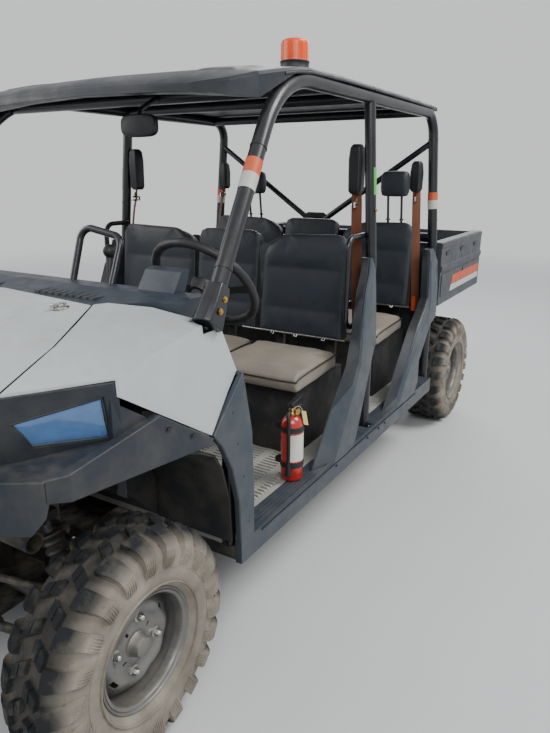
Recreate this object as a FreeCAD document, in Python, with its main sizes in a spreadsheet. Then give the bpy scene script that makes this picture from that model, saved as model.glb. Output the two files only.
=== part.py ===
"""Side by side utility vehicle with a crew cab and a dump bed, as a parametric document.

Millimetres. Forward is -Y, the driver's side is +X, up is +Z, the ground is at Z 0, and Y 0
is midway between the axles.
"""
import FreeCAD, Part
import math
import os
import Sketcher
from types import SimpleNamespace

Vector = FreeCAD.Vector
doc = FreeCAD.newDocument("CrewUtility")

# Driving sizes: name, millimetres or degrees
SIZES = (
    # whole vehicle
    ("wheelbase", 2870),
    ("overall_width", 1588),
    ("overhang", 495),
    ("fit_gap", 0.3),
    ("panel_gap", 4),
    # wheels
    ("tyre_radius", 330),
    ("front_tyre_width", 229),
    ("rear_tyre_width", 279),
    ("bead_radius", 152),
    ("rim_barrel_radius", 146),
    ("rim_flange_radius", 166),
    ("rim_flange_inset", 26),
    ("tyre_wall", 13),
    ("lug_depth", 18),
    ("wheel_face_inset", 74),
    ("hub_radius", 32),
    ("hub_gap", 0.4),
    ("nut_circle", 156),
    ("nut_radius", 11),
    # kingpin and steering
    ("kingpin_inset", 179),
    ("ball_half_height", 92),
    ("ball_housing", 19),
    ("steer_arm_y", 110),
    ("steer_arm_x", 75),
    ("rack_y", -1262),
    ("rack_z", 402),
    ("rack_half", 295),
    ("steering_wheel_x", 495),
    ("steering_wheel_y", -785),
    ("steering_wheel_z", 1183),
    ("steering_wheel_radius", 182),
    ("steering_rim_radius", 15),
    ("steering_rake", 38),
    ("boot_radius", 30),
    ("lower_rail_height", 14),
    # main frame
    ("rail_x", 255),
    ("rail_width", 50),
    ("rail_bottom", 298),
    ("rail_top", 378),
    ("rail_rear", 1800),
    ("cross_height", 22),
    ("cross_depth", 50),
    ("outrigger_end", 745),
    ("outrigger_height", 40),
    ("post_width", 40),
    ("post_spread", 130),
    ("front_tower_top", 640),
    ("bumper_plate", 8),
    ("cross_tube_radius", 26),
    ("cross_tube_half", 593),
    ("cross_tube_y", -1610),
    ("cross_tube_z", 692),
    ("skid_thickness", 6),
    ("lower_arm_z", 305),
    ("upper_arm_z", 470),
    ("arm_tube_radius", 14),
    # floor and sills
    ("floor_top", 410),
    ("floor_rib", 6),
    ("sill_depth", 86),
    ("floor_front", -990),
    ("floor_rear", 985),
    ("sill_outer", 772),
    ("sill_bottom", 332),
    ("skin", 5),
    # cage
    ("cage_radius", 25.4),
    ("cage_low_x", 715),
    ("cage_top_x", 665),
    ("cage_top_z", 1830),
    ("pillar_foot_x", 730),
    ("pillar_foot_y", -1080),
    ("pillar_foot_z", 1150),
    ("a_top_y", -653),
    ("a_leg_y", -976),
    ("b_top_y", 55),
    ("b_low_y", 112),
    ("c_top_y", 912),
    ("c_low_y", 985),
    ("belt_line_z", 1160),
    # roof and lamps
    ("roof_half", 682),
    ("roof_top", 1905),
    ("roof_bottom", 1855.7),
    ("roof_front", -800),
    ("roof_rear", 1060),
    ("beacon_x", 500),
    ("beacon_y", -200),
    ("beacon_radius", 52),
    ("beacon_height", 100),
    # seats
    ("cushion_half", 640),
    ("cushion_bottom", 692),
    ("cushion_top", 800),
    ("cushion_length", 372),
    ("front_cushion_y", -405),
    ("rear_cushion_y", 432),
    ("seat_base_half", 600),
    ("back_bottom", 812),
    ("back_top", 1283),
    ("back_offset", 380),
    ("back_thickness", 85),
    ("back_lean", 50),
    ("passenger_split_x", -155),
    ("driver_split_x", 208),
    # bed
    ("bed_half", 762),
    ("bed_front", 1018),
    ("bed_floor", 850),
    ("bed_bottom", 818),
    ("bed_top", 1165),
    ("bed_wall", 64),
    ("bed_pivot_y", 1700),
    ("bed_pivot_z", 790),
    ("gate_thickness", 38),
    # hitch
    ("receiver_bore", 50.8),
    ("receiver_outer", 63.5),
    ("receiver_z", 400),
    ("hitch_pin_radius", 8.25),
)


class Size:
    """A length that knows its number and the formula that ties it to the sheet."""

    def __init__(self, number, formula):
        self.number = float(number)
        self.formula = formula

    def __float__(self):
        return self.number

    def __add__(self, other):
        return Size(self.number + float(other), "(%s + %s)" % (self.formula, formula(other)))

    def __radd__(self, other):
        return Size(float(other) + self.number, "(%s + %s)" % (formula(other), self.formula))

    def __sub__(self, other):
        return Size(self.number - float(other), "(%s - %s)" % (self.formula, formula(other)))

    def __rsub__(self, other):
        return Size(float(other) - self.number, "(%s - %s)" % (formula(other), self.formula))

    def __mul__(self, other):
        return Size(self.number * float(other), "(%s * %s)" % (self.formula, formula(other)))

    __rmul__ = __mul__

    def __truediv__(self, other):
        return Size(self.number / float(other), "(%s / %s)" % (self.formula, formula(other)))

    def __neg__(self):
        return Size(-self.number, "(-1 * %s)" % self.formula)


def formula(value):
    return value.formula if isinstance(value, Size) else "(%.6f)" % float(value)


def make_sheet():
    """The spreadsheet of driving sizes, one alias a row."""
    sheet = doc.addObject("Spreadsheet::Sheet", "Sizes")
    for row, (alias, value) in enumerate(SIZES, start=1):
        sheet.set("A%d" % row, alias)
        sheet.set("B%d" % row, str(value))
        sheet.setAlias("B%d" % row, alias)
    doc.recompute()
    return sheet


sheet = make_sheet()
S = SimpleNamespace(**{alias: Size(sheet.get(alias), "Sizes." + alias) for alias, _ in SIZES})
front_axle_y = -S.wheelbase / 2
rear_axle_y = S.wheelbase / 2
nose_y = front_axle_y - S.overhang
tail_y = rear_axle_y + S.overhang
floor_half = S.sill_outer - S.sill_depth
panel_outer = S.sill_outer + 2
kingpin_x = S.overall_width / 2 - S.kingpin_inset
NODES = []


# Building blocks

def node(label, thing):
    """Names a finished sub-part. Its label is its file's name."""
    thing.Label = label
    NODES.append(thing)
    return thing


def block(name, x, y, z):
    """A box from three pairs of low and high."""
    box = doc.addObject("Part::Box", name)
    for side, base, (low, high) in (("Length", "x", x), ("Width", "y", y), ("Height", "z", z)):
        box.setExpression(side, formula(high - low))
        box.setExpression("Placement.Base." + base, formula(low))
    return box


def span(a, b):
    """The two in rising order."""
    return (a, b) if float(a) < float(b) else (b, a)


def point(place):
    return Vector(*[float(value) for value in place])


def rod(name, start, end, radius):
    """A round bar between two points."""
    bar = doc.addObject("Part::Cylinder", name)
    run = point(end) - point(start)
    squares = ["(%s - %s)^2" % (formula(b), formula(a)) for a, b in zip(start, end)]
    bar.Placement = FreeCAD.Placement(point(start), FreeCAD.Rotation(Vector(0, 0, 1), run))
    bar.setExpression("Radius", formula(radius))
    bar.setExpression("Height", "sqrt(%s)" % " + ".join(squares))
    for base, value in zip("xyz", start):
        bar.setExpression("Placement.Base." + base, formula(value))
    return bar


def ball(name, centre, radius):
    sphere = doc.addObject("Part::Sphere", name)
    sphere.setExpression("Radius", formula(radius))
    for base, value in zip("xyz", centre):
        sphere.setExpression("Placement.Base." + base, formula(value))
    return sphere


def fuse(name, parts):
    whole = doc.addObject("Part::MultiFuse", name)
    whole.Shapes = parts
    whole.Refine = True
    return whole


def group(name, parts):
    """Several pieces that don't touch, in one sub-part."""
    whole = doc.addObject("Part::Compound", name)
    whole.Links = parts
    return whole


def cut(name, base, tools):
    whole = doc.addObject("Part::Cut", name)
    whole.Base = base
    whole.Tool = tools[0] if len(tools) == 1 else fuse(name + "Tools", tools)
    return whole


def common(name, base, tool):
    whole = doc.addObject("Part::Common", name)
    whole.Base = base
    whole.Tool = tool
    return whole


def mirrored(name, source):
    """The same piece on the other side."""
    twin = doc.addObject("Part::Mirroring", name)
    twin.Source = source
    twin.Normal = Vector(1, 0, 0)
    return twin


def both_sides(name, left):
    return group(name, [left, mirrored(name + "Right", left)])


def draw(sketch, corners):
    """A closed outline whose every corner is pinned to the sheet's sizes."""
    count = len(corners)
    first = sketch.GeometryCount
    places = [Vector(float(x), float(y), 0) for x, y in corners]
    for index in range(count):
        sketch.addGeometry(Part.LineSegment(places[index], places[(index + 1) % count]))
    for index in range(count):
        following = first + (index + 1) % count
        sketch.addConstraint(Sketcher.Constraint("Coincident", first + index, 2, following, 1))
    for index, (x, y) in enumerate(corners):
        pin(sketch, "DistanceX", first + index, x)
        pin(sketch, "DistanceY", first + index, y)


def pin(sketch, kind, edge, value):
    number = sketch.addConstraint(Sketcher.Constraint(kind, -1, 1, edge, 1, float(value)))
    if isinstance(value, Size):
        sketch.setExpression("Constraints[%d]" % number, value.formula)


def plane_of(body, role):
    return [plane for plane in body.Origin.OriginFeatures if plane.Role == role][0]


def plate(name, plane, corners, low, high, holes=()):
    """A body padded from an outline: plane plan, front or side, from low to high across it."""
    role = {"plan": "XY_Plane", "front": "XZ_Plane", "side": "YZ_Plane"}[plane]
    body = doc.addObject("PartDesign::Body", name)
    sketch = body.newObject("Sketcher::SketchObject", name + "Sketch")
    sketch.AttachmentSupport = [(plane_of(body, role), "")]
    sketch.MapMode = "FlatFace"
    start = -high if plane == "front" else low
    sketch.setExpression("AttachmentOffset.Base.z", formula(start))
    for loop in (corners,) + tuple(holes):
        draw(sketch, loop)
    pad = body.newObject("PartDesign::Pad", name + "Pad")
    pad.Profile = sketch
    pad.setExpression("Length", formula(high - low))
    body.Tip = pad
    return body


def turned(name, profile, centre):
    """A body of revolution about an axle along X: profile of (along the axle, radius)."""
    body = doc.addObject("PartDesign::Body", name)
    sketch = body.newObject("Sketcher::SketchObject", name + "Sketch")
    sketch.AttachmentSupport = [(plane_of(body, "XY_Plane"), "")]
    sketch.MapMode = "FlatFace"
    draw(sketch, profile)
    turn = body.newObject("PartDesign::Revolution", name + "Turn")
    turn.Profile = sketch
    turn.ReferenceAxis = (sketch, ["H_Axis"])
    turn.Angle = 360
    body.Tip = turn
    for base, value in zip("xyz", centre):
        body.setExpression("Placement.Base." + base, formula(value))
    return body


def section(name, station, corners):
    """An outline across the vehicle at one station along it."""
    sketch = doc.addObject("Sketcher::SketchObject", name)
    sketch.Placement = FreeCAD.Placement(Vector(), FreeCAD.Rotation(Vector(1, 0, 0), 90))
    sketch.setExpression("Placement.Base.y", formula(station))
    draw(sketch, corners)
    return sketch


def level(name, height, corners):
    """An outline in plan at one height."""
    sketch = doc.addObject("Sketcher::SketchObject", name)
    sketch.setExpression("Placement.Base.z", formula(height))
    draw(sketch, corners)
    return sketch


def loft(name, sections):
    """A solid ruled through its sections."""
    skin = doc.addObject("Part::Loft", name)
    skin.Sections = sections
    skin.Solid = True
    skin.Ruled = True
    return skin


def both_halves(half):
    """Closes an outline of (x, other) from its +X half, given from the middle round to the middle."""
    other = [(-x, z) for x, z in reversed(half) if abs(float(x)) > 1e-6]
    return list(half) + other


def rounded_path(corners, bend):
    """Straight runs joined by arcs of one radius."""
    places = [point(corner) for corner in corners]
    edges = []
    start = places[0]
    for before, corner, after in zip(places, places[1:], places[2:]):
        back = (before - corner).normalize()
        ahead = (after - corner).normalize()
        turn = math.pi - back.getAngle(ahead)
        reach = bend * math.tan(turn / 2)
        entry = corner + back * reach
        leave = corner + ahead * reach
        inward = (back + ahead).normalize()
        middle = corner + inward * (bend / math.cos(turn / 2) - bend)
        edges.append(Part.LineSegment(start, entry).toShape())
        edges.append(Part.Arc(entry, middle, leave).toShape())
        start = leave
    edges.append(Part.LineSegment(start, places[-1]).toShape())
    return Part.Wire(edges)


def bent_tube(name, corners, radius, bend):
    """A round tube bent along its corners."""
    path = rounded_path(corners, float(bend))
    first = path.Edges[0]
    ring = Part.Circle(first.valueAt(first.FirstParameter), first.tangentAt(first.FirstParameter),
                       float(radius))
    tube = doc.addObject("Part::Feature", name)
    tube.Shape = path.makePipeShell([Part.Wire(ring.toShape())], True, True)
    return tube


# Wheels

# name, axle's y, side, tyre width, length of the hub inside the wheel's face
WHEELS = (
    ("front_left", front_axle_y, 1, S.front_tyre_width, 66),
    ("front_right", front_axle_y, -1, S.front_tyre_width, 66),
    ("rear_left", rear_axle_y, 1, S.rear_tyre_width, 142),
    ("rear_right", rear_axle_y, -1, S.rear_tyre_width, 142),
)


# tag, low x and high x as shares of the half width, low radius, lug's width round the tyre, turn in pitches
LUG_ROWS = (
    ("Outer", 0.44, 1.05, 246, 58, 0.0),
    ("Inner", -1.05, -0.44, 246, 58, 0.5),
    ("MiddleOut", 0.02, 0.36, 290, 44, 0.62),
    ("MiddleIn", -0.36, -0.02, 290, 44, 0.12),
)
LUG_COUNT = 18


def tyre_profile(width, side):
    """Carcass under the lugs, open towards the rim."""
    half = width / 2
    crown = S.tyre_radius
    tread = crown - S.lug_depth
    outer = [
        (half - 33.6, S.bead_radius), (half - 30.4, S.bead_radius + 16), (half - 14, S.bead_radius + 26),
        (half - 7, S.bead_radius + 70), (half - 10, S.bead_radius + 108), (half - 22, tread - 30),
        (half - 46, tread - 7), (half - 74, tread),
    ]
    inner = [
        (half - 74, tread - S.tyre_wall), (half - 32, tread - 44),
        (half - 20, S.bead_radius + 72), (half - 44, S.bead_radius + 24), (half - 44, S.bead_radius),
    ]
    right = [(x * side, r) for x, r in outer]
    left = [(-x * side, r) for x, r in reversed(outer)]
    back = [(-x * side, r) for x, r in reversed(inner)]
    front = [(x * side, r) for x, r in inner]
    return right + left + back + front


def lug_envelope(width):
    """The room that the lugs' tips fill, from the shoulders' feet over the tread, rooted in the carcass."""
    half = width / 2
    crown = S.tyre_radius
    tread = crown - S.lug_depth
    outer = [
        (half - 12, S.bead_radius + 78), (half - 1, S.bead_radius + 96), (half, S.bead_radius + 112),
        (half - 8, crown - 34), (half - 34, crown - 9), (half - 62, crown),
    ]
    inner = [(half - 76, tread - 4), (half - 49, tread - 11), (half - 26, tread - 34), (half - 14, S.bead_radius + 106)]
    return outer + [(-x, r) for x, r in reversed(outer)] + [(-x, r) for x, r in reversed(inner)] + inner


def lug(name, centre, across, low_radius, wide, degrees):
    """One block of tread, turned about the axle."""
    turn = math.radians(degrees)
    high_radius = S.tyre_radius + 6
    piece = doc.addObject("Part::Box", name)
    piece.Placement = FreeCAD.Placement(Vector(), FreeCAD.Rotation(Vector(1, 0, 0), degrees))
    piece.setExpression("Length", formula(across[1] - across[0]))
    piece.setExpression("Width", formula(wide))
    piece.setExpression("Height", formula(high_radius - low_radius))
    piece.setExpression("Placement.Base.x", formula(centre[0] + across[0]))
    piece.setExpression("Placement.Base.y", formula(centre[1] - wide / 2 * math.cos(turn) - low_radius * math.sin(turn)))
    piece.setExpression("Placement.Base.z", formula(centre[2] - wide / 2 * math.sin(turn) + low_radius * math.cos(turn)))
    return piece


def tyre(name, centre, width, side):
    """Carcass with two rows of shoulder lugs and two rows of middle lugs."""
    lugs = []
    pitch = 360 / LUG_COUNT
    for tag, low, high, low_radius, wide, shift in LUG_ROWS:
        across = span(width / 2 * low * side, width / 2 * high * side)
        for index in range(LUG_COUNT):
            lugs.append(lug("%sLug%d_%s" % (tag, index, name), centre, across, low_radius, wide,
                            pitch * (index + shift) + 180))
    room = turned("LugRoom_" + name, lug_envelope(width), centre)
    tread = common("Tread_" + name, room, group("Lugs_" + name, lugs))
    return fuse("Tyre_" + name, [turned("Carcass_" + name, tyre_profile(width, side), centre), tread])


def rim_profile(width, side):
    """Barrel, flange lips and dished face of a pressed steel wheel."""
    half = width / 2 - S.rim_flange_inset
    face = S.overall_width / 2 - S.wheel_face_inset
    middle = S.overall_width / 2 - width / 2
    disc = face - middle
    gap = S.fit_gap
    bead = S.bead_radius - gap
    barrel = S.rim_barrel_radius
    outline = [
        (half, S.rim_flange_radius - 5), (half, S.rim_flange_radius),
        (half - 4, S.rim_flange_radius), (half - 7, bead),
        (-half + 7, bead), (-half + 4, S.rim_flange_radius), (-half, S.rim_flange_radius),
        (-half, S.rim_flange_radius - 5), (-half + 3, barrel), (disc - 22, barrel),
        (disc - 6, S.nut_circle / 2 + 34), (disc + 6, S.nut_circle / 2 + 22), (disc + 6, S.nut_circle / 2 + 14),
        (disc - 4, S.nut_circle / 2 + 12), (disc - 4, 0.0), (disc + 4, 0.0), (disc + 4, S.nut_circle / 2 + 8),
        (disc + 14, S.nut_circle / 2 + 12), (disc + 14, S.nut_circle / 2 + 24),
        (disc + 2, S.nut_circle / 2 + 40), (disc - 8, barrel), (half - 3, barrel),
    ]
    return [(x * side, r) for x, r in outline]


def wheel(name, axle_y, side, width, hub_length):
    """Tyre, rim, hub and nuts of one wheel."""
    middle = (S.overall_width / 2 - width / 2) * side
    centre = (middle, axle_y, S.tyre_radius)
    node("tyre_" + name, tyre(name, centre, width, side))
    rim = turned("Rim_" + name, rim_profile(width, side), centre)
    face = (S.overall_width / 2 - S.wheel_face_inset) * side
    parts = [rim]
    parts.append(rod("Hub_" + name, (face - hub_length * side, axle_y, S.tyre_radius),
                     (face + 20 * side, axle_y, S.tyre_radius), S.hub_radius))
    for index in range(4):
        turn = math.radians(45 + 90 * index)
        y = axle_y + S.nut_circle / 2 * math.cos(turn)
        z = S.tyre_radius + S.nut_circle / 2 * math.sin(turn)
        parts.append(rod("Nut%d_%s" % (index, name), (face - 2 * side, y, z), (face + 17 * side, y, z),
                         S.nut_radius))
    node("rim_" + name, fuse("Wheel_" + name, parts))


for row in WHEELS:
    wheel(*row)


# Main frame

CROSS_MEMBERS = (-1575, -1262, -960, -400, 380, 985, 1630, 1780)
OUTRIGGERS = (S.a_leg_y, -400, S.b_low_y, S.c_low_y)
frame_low = S.rail_x - S.rail_width / 2
frame_high = S.rail_x + S.rail_width / 2
rear_tower_top = S.bed_bottom - S.fit_gap
bed_pin_reach = frame_high + 18


def frame_side():
    """One long rail, dropped under the axles, with its outriggers and towers."""
    across = (frame_low, frame_high)
    low_top = S.rail_bottom + S.lower_rail_height
    front_end = front_axle_y + 145
    rear_start = rear_axle_y - 145
    parts = [
        block("Rail", across, (front_end, rear_start), (S.rail_bottom, S.rail_top)),
        block("RailFront", across, (nose_y + 320, front_end), (S.rail_bottom, low_top)),
        block("RailRear", across, (rear_start, S.rail_rear), (S.rail_bottom, low_top)),
    ]
    for index, y in enumerate(OUTRIGGERS):
        parts.append(block("Outrigger%d" % index, (frame_high, S.outrigger_end), (y - 20, y + 20),
                           (S.rail_top - S.outrigger_height, S.rail_top)))
    # name, axle's y, tower's top, outer end of the shock bracket
    towers = (("Front", front_axle_y, S.front_tower_top, 430), ("Rear", rear_axle_y, rear_tower_top, 400))
    for name, axle_y, top, reach in towers:
        for sign in (-1, 1):
            y = axle_y + S.post_spread * sign
            parts.append(block("%sPost%d" % (name, sign), across, (y - S.post_width / 2, y + S.post_width / 2),
                               (S.rail_bottom, top)))
        parts.append(block(name + "TowerBeam", across, (axle_y - S.post_spread, axle_y + S.post_spread),
                           (top - 40, top)))
        parts.append(block(name + "ShockBracket", (frame_high, reach), (axle_y - 26, axle_y + 26), (top - 22, top)))
    parts.append(block("BedPost", across, (S.bed_pivot_y - 14, S.bed_pivot_y + 12), (S.rail_bottom, S.bed_pivot_z + 12)))
    parts.append(rod("BedPin", (frame_low, S.bed_pivot_y, S.bed_pivot_z), (bed_pin_reach, S.bed_pivot_y, S.bed_pivot_z), 8))
    parts.append(block("NoseStay", (170, 200), (nose_y + 330, nose_y + 360), (S.rail_bottom, 855.7)))
    parts.append(block("TubeStay", across, (nose_y + 320, nose_y + 350), (S.rail_bottom, S.cross_tube_z)))
    return fuse("FrameLeft", parts)


def main_frame():
    """Two long rails, cross members, outriggers and the towers that carry both axles."""
    side = frame_side()
    parts = [side, mirrored("FrameRight", side)]
    for index, y in enumerate(CROSS_MEMBERS):
        parts.append(block("CrossMember%d" % index, (-frame_low, frame_low), (y - S.cross_depth / 2, y + S.cross_depth / 2),
                           (S.rail_bottom, S.rail_bottom + S.cross_height)))
    for sign in (-1, 1):
        x = 165 * sign
        parts.append(block("RackPedestal%d" % sign, (x - 15, x + 15), (S.rack_y - 15, S.rack_y + 15),
                           (S.rail_bottom + S.cross_height, S.rack_z - 20)))
    parts.append(rod("RackHousing", (-190, S.rack_y, S.rack_z), (190, S.rack_y, S.rack_z), 27.5))
    tube_z = S.cross_tube_z
    parts.append(rod("CrossTube", (-S.cross_tube_half, S.cross_tube_y, tube_z),
                     (S.cross_tube_half, S.cross_tube_y, tube_z), S.cross_tube_radius))
    whole = fuse("FrameWhole", parts)
    bores = [rod("RackBore", (-200, S.rack_y, S.rack_z), (200, S.rack_y, S.rack_z), 13.3)]
    for sign in (-1, 1):
        bores.append(rod("CrossTubeBore%d" % sign, ((S.cross_tube_half + 2) * sign, S.cross_tube_y, tube_z),
                         ((S.cross_tube_half - 160) * sign, S.cross_tube_y, tube_z), S.cross_tube_radius - 4))
    node("main_frame", cut("FrameCut", whole, bores))


# y and z round the bumper's upright plates
BUMPER_OUTLINE = ((nose_y + 319.7, 300), (nose_y + 319.7, 600), (nose_y + 90, 700), (nose_y, 690), (nose_y, 520),
                  (nose_y + 120, 330))


def front_bumper():
    """Steel guard ahead of the frame: two upright plates joined by two tubes."""
    parts = []
    for sign in (-1, 1):
        low, high = span(236 * sign, (236 + S.bumper_plate) * sign)
        parts.append(plate("BumperPlate%d" % sign, "side", BUMPER_OUTLINE, low, high))
    for index, (y, z) in enumerate(((nose_y + 22, 660), (nose_y + 26, 540))):
        parts.append(rod("BumperTube%d" % index, (-360, y, z), (360, y, z), 22))
    node("front_bumper", fuse("Bumper", parts))


def skid_plate():
    half = frame_high - 5
    node("skid_plate", block("Skid", (-half, half), (nose_y + 340, rear_axle_y + 200),
                             (S.rail_bottom - S.skid_thickness, S.rail_bottom)))


def hitch():
    """Receiver tube with its cross pin hole, hung below the tail of the frame."""
    half = S.receiver_outer / 2
    bore = S.receiver_bore / 2
    z = S.receiver_z
    tube = block("Receiver", (-half, half), (tail_y - 230, tail_y - 30), (z - half, z + half))
    tray = block("ReceiverBeam", (-frame_low, frame_low), (tail_y - 230, tail_y - 190),
                 (z + half, z + half + 12))
    tools = [
        block("ReceiverHole", (-bore, bore), (tail_y - 240, tail_y - 20), (z - bore, z + bore)),
        rod("PinHole", (-half - 5, tail_y - 65, z), (half + 5, tail_y - 65, z), S.hitch_pin_radius),
    ]
    solid = fuse("ReceiverSolid", [tube, tray])
    node("hitch_receiver", cut("ReceiverCut", solid, tools))


main_frame()
front_bumper()
skid_plate()
hitch()


# Suspension and driveline

def wishbone(name, axle_y, ball_x, ball_z, pivot_z, tip_spread, radius):
    """A V of round bar from two bushes on the frame's posts out to the wheel."""
    bush_x = frame_high + S.fit_gap + 20
    bars = []
    for sign in (-1, 1):
        pivot_y = axle_y + S.post_spread * sign
        bars.append(rod("%sLeg%d" % (name, sign), (ball_x, axle_y + tip_spread * sign, ball_z),
                        (bush_x, pivot_y, pivot_z), radius))
        bars.append(rod("%sBush%d" % (name, sign), (bush_x, pivot_y - 20, pivot_z), (bush_x, pivot_y + 20, pivot_z), 20))
    return bars


def front_arms():
    """Upper and lower wishbones with the housings of their ball joints."""
    parts = []
    for name, pivot_z, sign, radius in (("Lower", S.lower_arm_z, -1, S.arm_tube_radius),
                                        ("Upper", S.upper_arm_z, 1, S.arm_tube_radius - 3)):
        ball_z = S.tyre_radius + S.ball_half_height * sign
        bars = wishbone("Front" + name, front_axle_y, kingpin_x, ball_z, pivot_z, 6, radius)
        bars.append(rod(name + "Ball", (kingpin_x, front_axle_y, ball_z - S.ball_housing),
                        (kingpin_x, front_axle_y, ball_z + S.ball_housing), 19))
        if name == "Lower":
            bars.append(rod("FrontShockPin", (shock_foot_x, front_axle_y - 46, 262), (shock_foot_x, front_axle_y + 46, 262), 8))
        parts.append(both_sides(name + "FrontArms", fuse(name + "FrontArm", bars)))
    node("front_arms", group("FrontArms", parts))


def rear_suspension():
    """Upper and lower wishbones of the rear axle, with the hub carriers between them."""
    parts = []
    carrier_x = kingpin_x - 37
    for name, pivot_z, ball_z, radius in (("Lower", S.lower_arm_z, S.tyre_radius - 80, S.arm_tube_radius),
                                          ("Upper", S.upper_arm_z, S.tyre_radius + 80, S.arm_tube_radius - 3)):
        bars = wishbone("Rear" + name, rear_axle_y, carrier_x - 33, ball_z, pivot_z, 34, radius)
        bars.append(rod("Rear%sPin" % name, (carrier_x - 33, rear_axle_y - 50, ball_z), (carrier_x - 33, rear_axle_y + 50, ball_z), 18))
        if name == "Lower":
            bars.append(rod("RearShockPin", (shock_foot_x, rear_axle_y - 50, 262), (shock_foot_x, rear_axle_y + 50, 262), 8))
        parts.append(both_sides("Rear%sArms" % name, fuse("Rear%sArm" % name, bars)))
    ring = rod("CarrierRing", (carrier_x, rear_axle_y, S.tyre_radius), (carrier_x + 38, rear_axle_y, S.tyre_radius), 62)
    post = block("CarrierPost", (carrier_x - 14.7, carrier_x + 14), (rear_axle_y - 40, rear_axle_y + 40), (S.tyre_radius - 98, S.tyre_radius + 98))
    bore = rod("CarrierBore", (carrier_x - 28, rear_axle_y, S.tyre_radius), (carrier_x + 62, rear_axle_y, S.tyre_radius),
               S.hub_radius + S.hub_gap)
    parts.append(both_sides("Carriers", cut("Carrier", fuse("CarrierSolid", [ring, post]), [bore])))
    node("rear_suspension", group("RearSuspension", parts))


shock_foot_x = kingpin_x - 115
SHOCK_FOOT_Z = 395


def shock(name, axle_y, top_x, top_z):
    """A coil over damper on a fork that straddles the half shaft."""
    foot = point((shock_foot_x, axle_y, SHOCK_FOOT_Z))
    top = Vector(top_x, float(axle_y), float(top_z) - 9)
    axis = (top - foot).normalize()
    reach = (top - foot).Length
    turns = 6
    pitch = (reach - 70) / turns
    outline = [Vector(0, 0, 0), Vector(18, 0, 0), Vector(28, 0, 12), Vector(28, 0, 18)]
    for index in range(turns):
        low = 20 + pitch * index
        outline += [Vector(22, 0, low), Vector(32, 0, low + pitch * 0.3), Vector(32, 0, low + pitch * 0.6)]
    outline += [Vector(22, 0, reach - 50), Vector(34, 0, reach - 48), Vector(34, 0, reach - 42), Vector(14, 0, reach - 38),
                Vector(14, 0, reach), Vector(0, 0, reach), Vector(0, 0, 0)]
    coil = doc.addObject("Part::Feature", name + "Coil")
    coil.Shape = Part.Face(Part.makePolygon(outline)).revolve(Vector(), Vector(0, 0, 1), 360)
    coil.Placement = FreeCAD.Placement(foot, FreeCAD.Rotation(Vector(0, 0, 1), axis))
    parts = [coil, block(name + "Yoke", (shock_foot_x - 10, shock_foot_x + 10), (axle_y - 34, axle_y + 34), (380, 398))]
    for sign in (-1, 1):
        low, high = span(20 * sign, 34 * sign)
        parts.append(block("%sFork%d" % (name, sign), (shock_foot_x - 10, shock_foot_x + 10), (axle_y + low, axle_y + high),
                           (270.3, 385)))
    parts.append(block(name + "ShockHead", (top_x - 15, top_x + 15), (axle_y - 16, axle_y + 16), (top_z - 18, top_z)))
    return both_sides(name + "Shocks", fuse(name + "ShockWhole", parts))


def shocks():
    node("shocks", group("Shocks", [
        shock("Front", front_axle_y, 405, S.front_tower_top - 22 - S.fit_gap),
        shock("Rear", rear_axle_y, 375, rear_tower_top - 22 - S.fit_gap),
    ]))


def driveline():
    """Front and rear gearcases, prop shaft and the four half shafts with their boots."""
    z = S.tyre_radius
    parts = [
        block("FrontCase", (-105, 105), (front_axle_y - 88, front_axle_y + 88), (S.rail_bottom + S.fit_gap, 402)),
        block("RearCase", (-125, 125), (rear_axle_y - 110, rear_axle_y + 110),
              (S.rail_bottom + S.fit_gap, 440)),
        rod("PropShaft", (0, front_axle_y + 80, 347), (0, rear_axle_y - 100, 347), 18),
    ]
    # axle's name, its y, gearcase side, outer joint's end
    for name, axle_y, inner, outer in (("Front", front_axle_y, 100, kingpin_x - 8), ("Rear", rear_axle_y, 120, kingpin_x - 42)):
        for sign in (-1, 1):
            tag = "%s%s" % (name, "Left" if sign > 0 else "Right")
            parts.append(rod(tag + "Shaft", (inner * sign, axle_y, z), ((outer - 8) * sign, axle_y, z), 14))
            parts.append(rod(tag + "InnerBoot", (inner * sign, axle_y, z), ((inner + 70) * sign, axle_y, z), S.boot_radius))
            parts.append(rod(tag + "OuterBoot", ((outer - 62) * sign, axle_y, z), (outer * sign, axle_y, z), S.boot_radius - 6))
    node("driveline", fuse("Driveline", parts))


def engine():
    """The engine as one block, with its silencer lying across the tail."""
    motor = fuse("Motor", [block("EngineBlock", (-215, 215), (1022, 1290), (S.rail_top + 10, 790)),
                           block("EngineFeet", (-262, 262), (1090, 1170), (S.rail_top + S.fit_gap, S.rail_top + 32))])
    can = rod("Can", (-160, 1630, 600), (190, 1630, 600), 70)
    outlet = rod("Outlet", (-120, 1680, 600), (-120, 1830, 590), 20)
    stay = block("Stay", (-20, 20), (1620, 1640),
                 (S.rail_bottom + S.cross_height + S.fit_gap, 540))
    node("engine", group("EngineAndSilencer", [motor, fuse("Silencer", [can, outlet, stay])]))


front_arms()
rear_suspension()
shocks()
driveline()
engine()


# Steering

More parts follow.
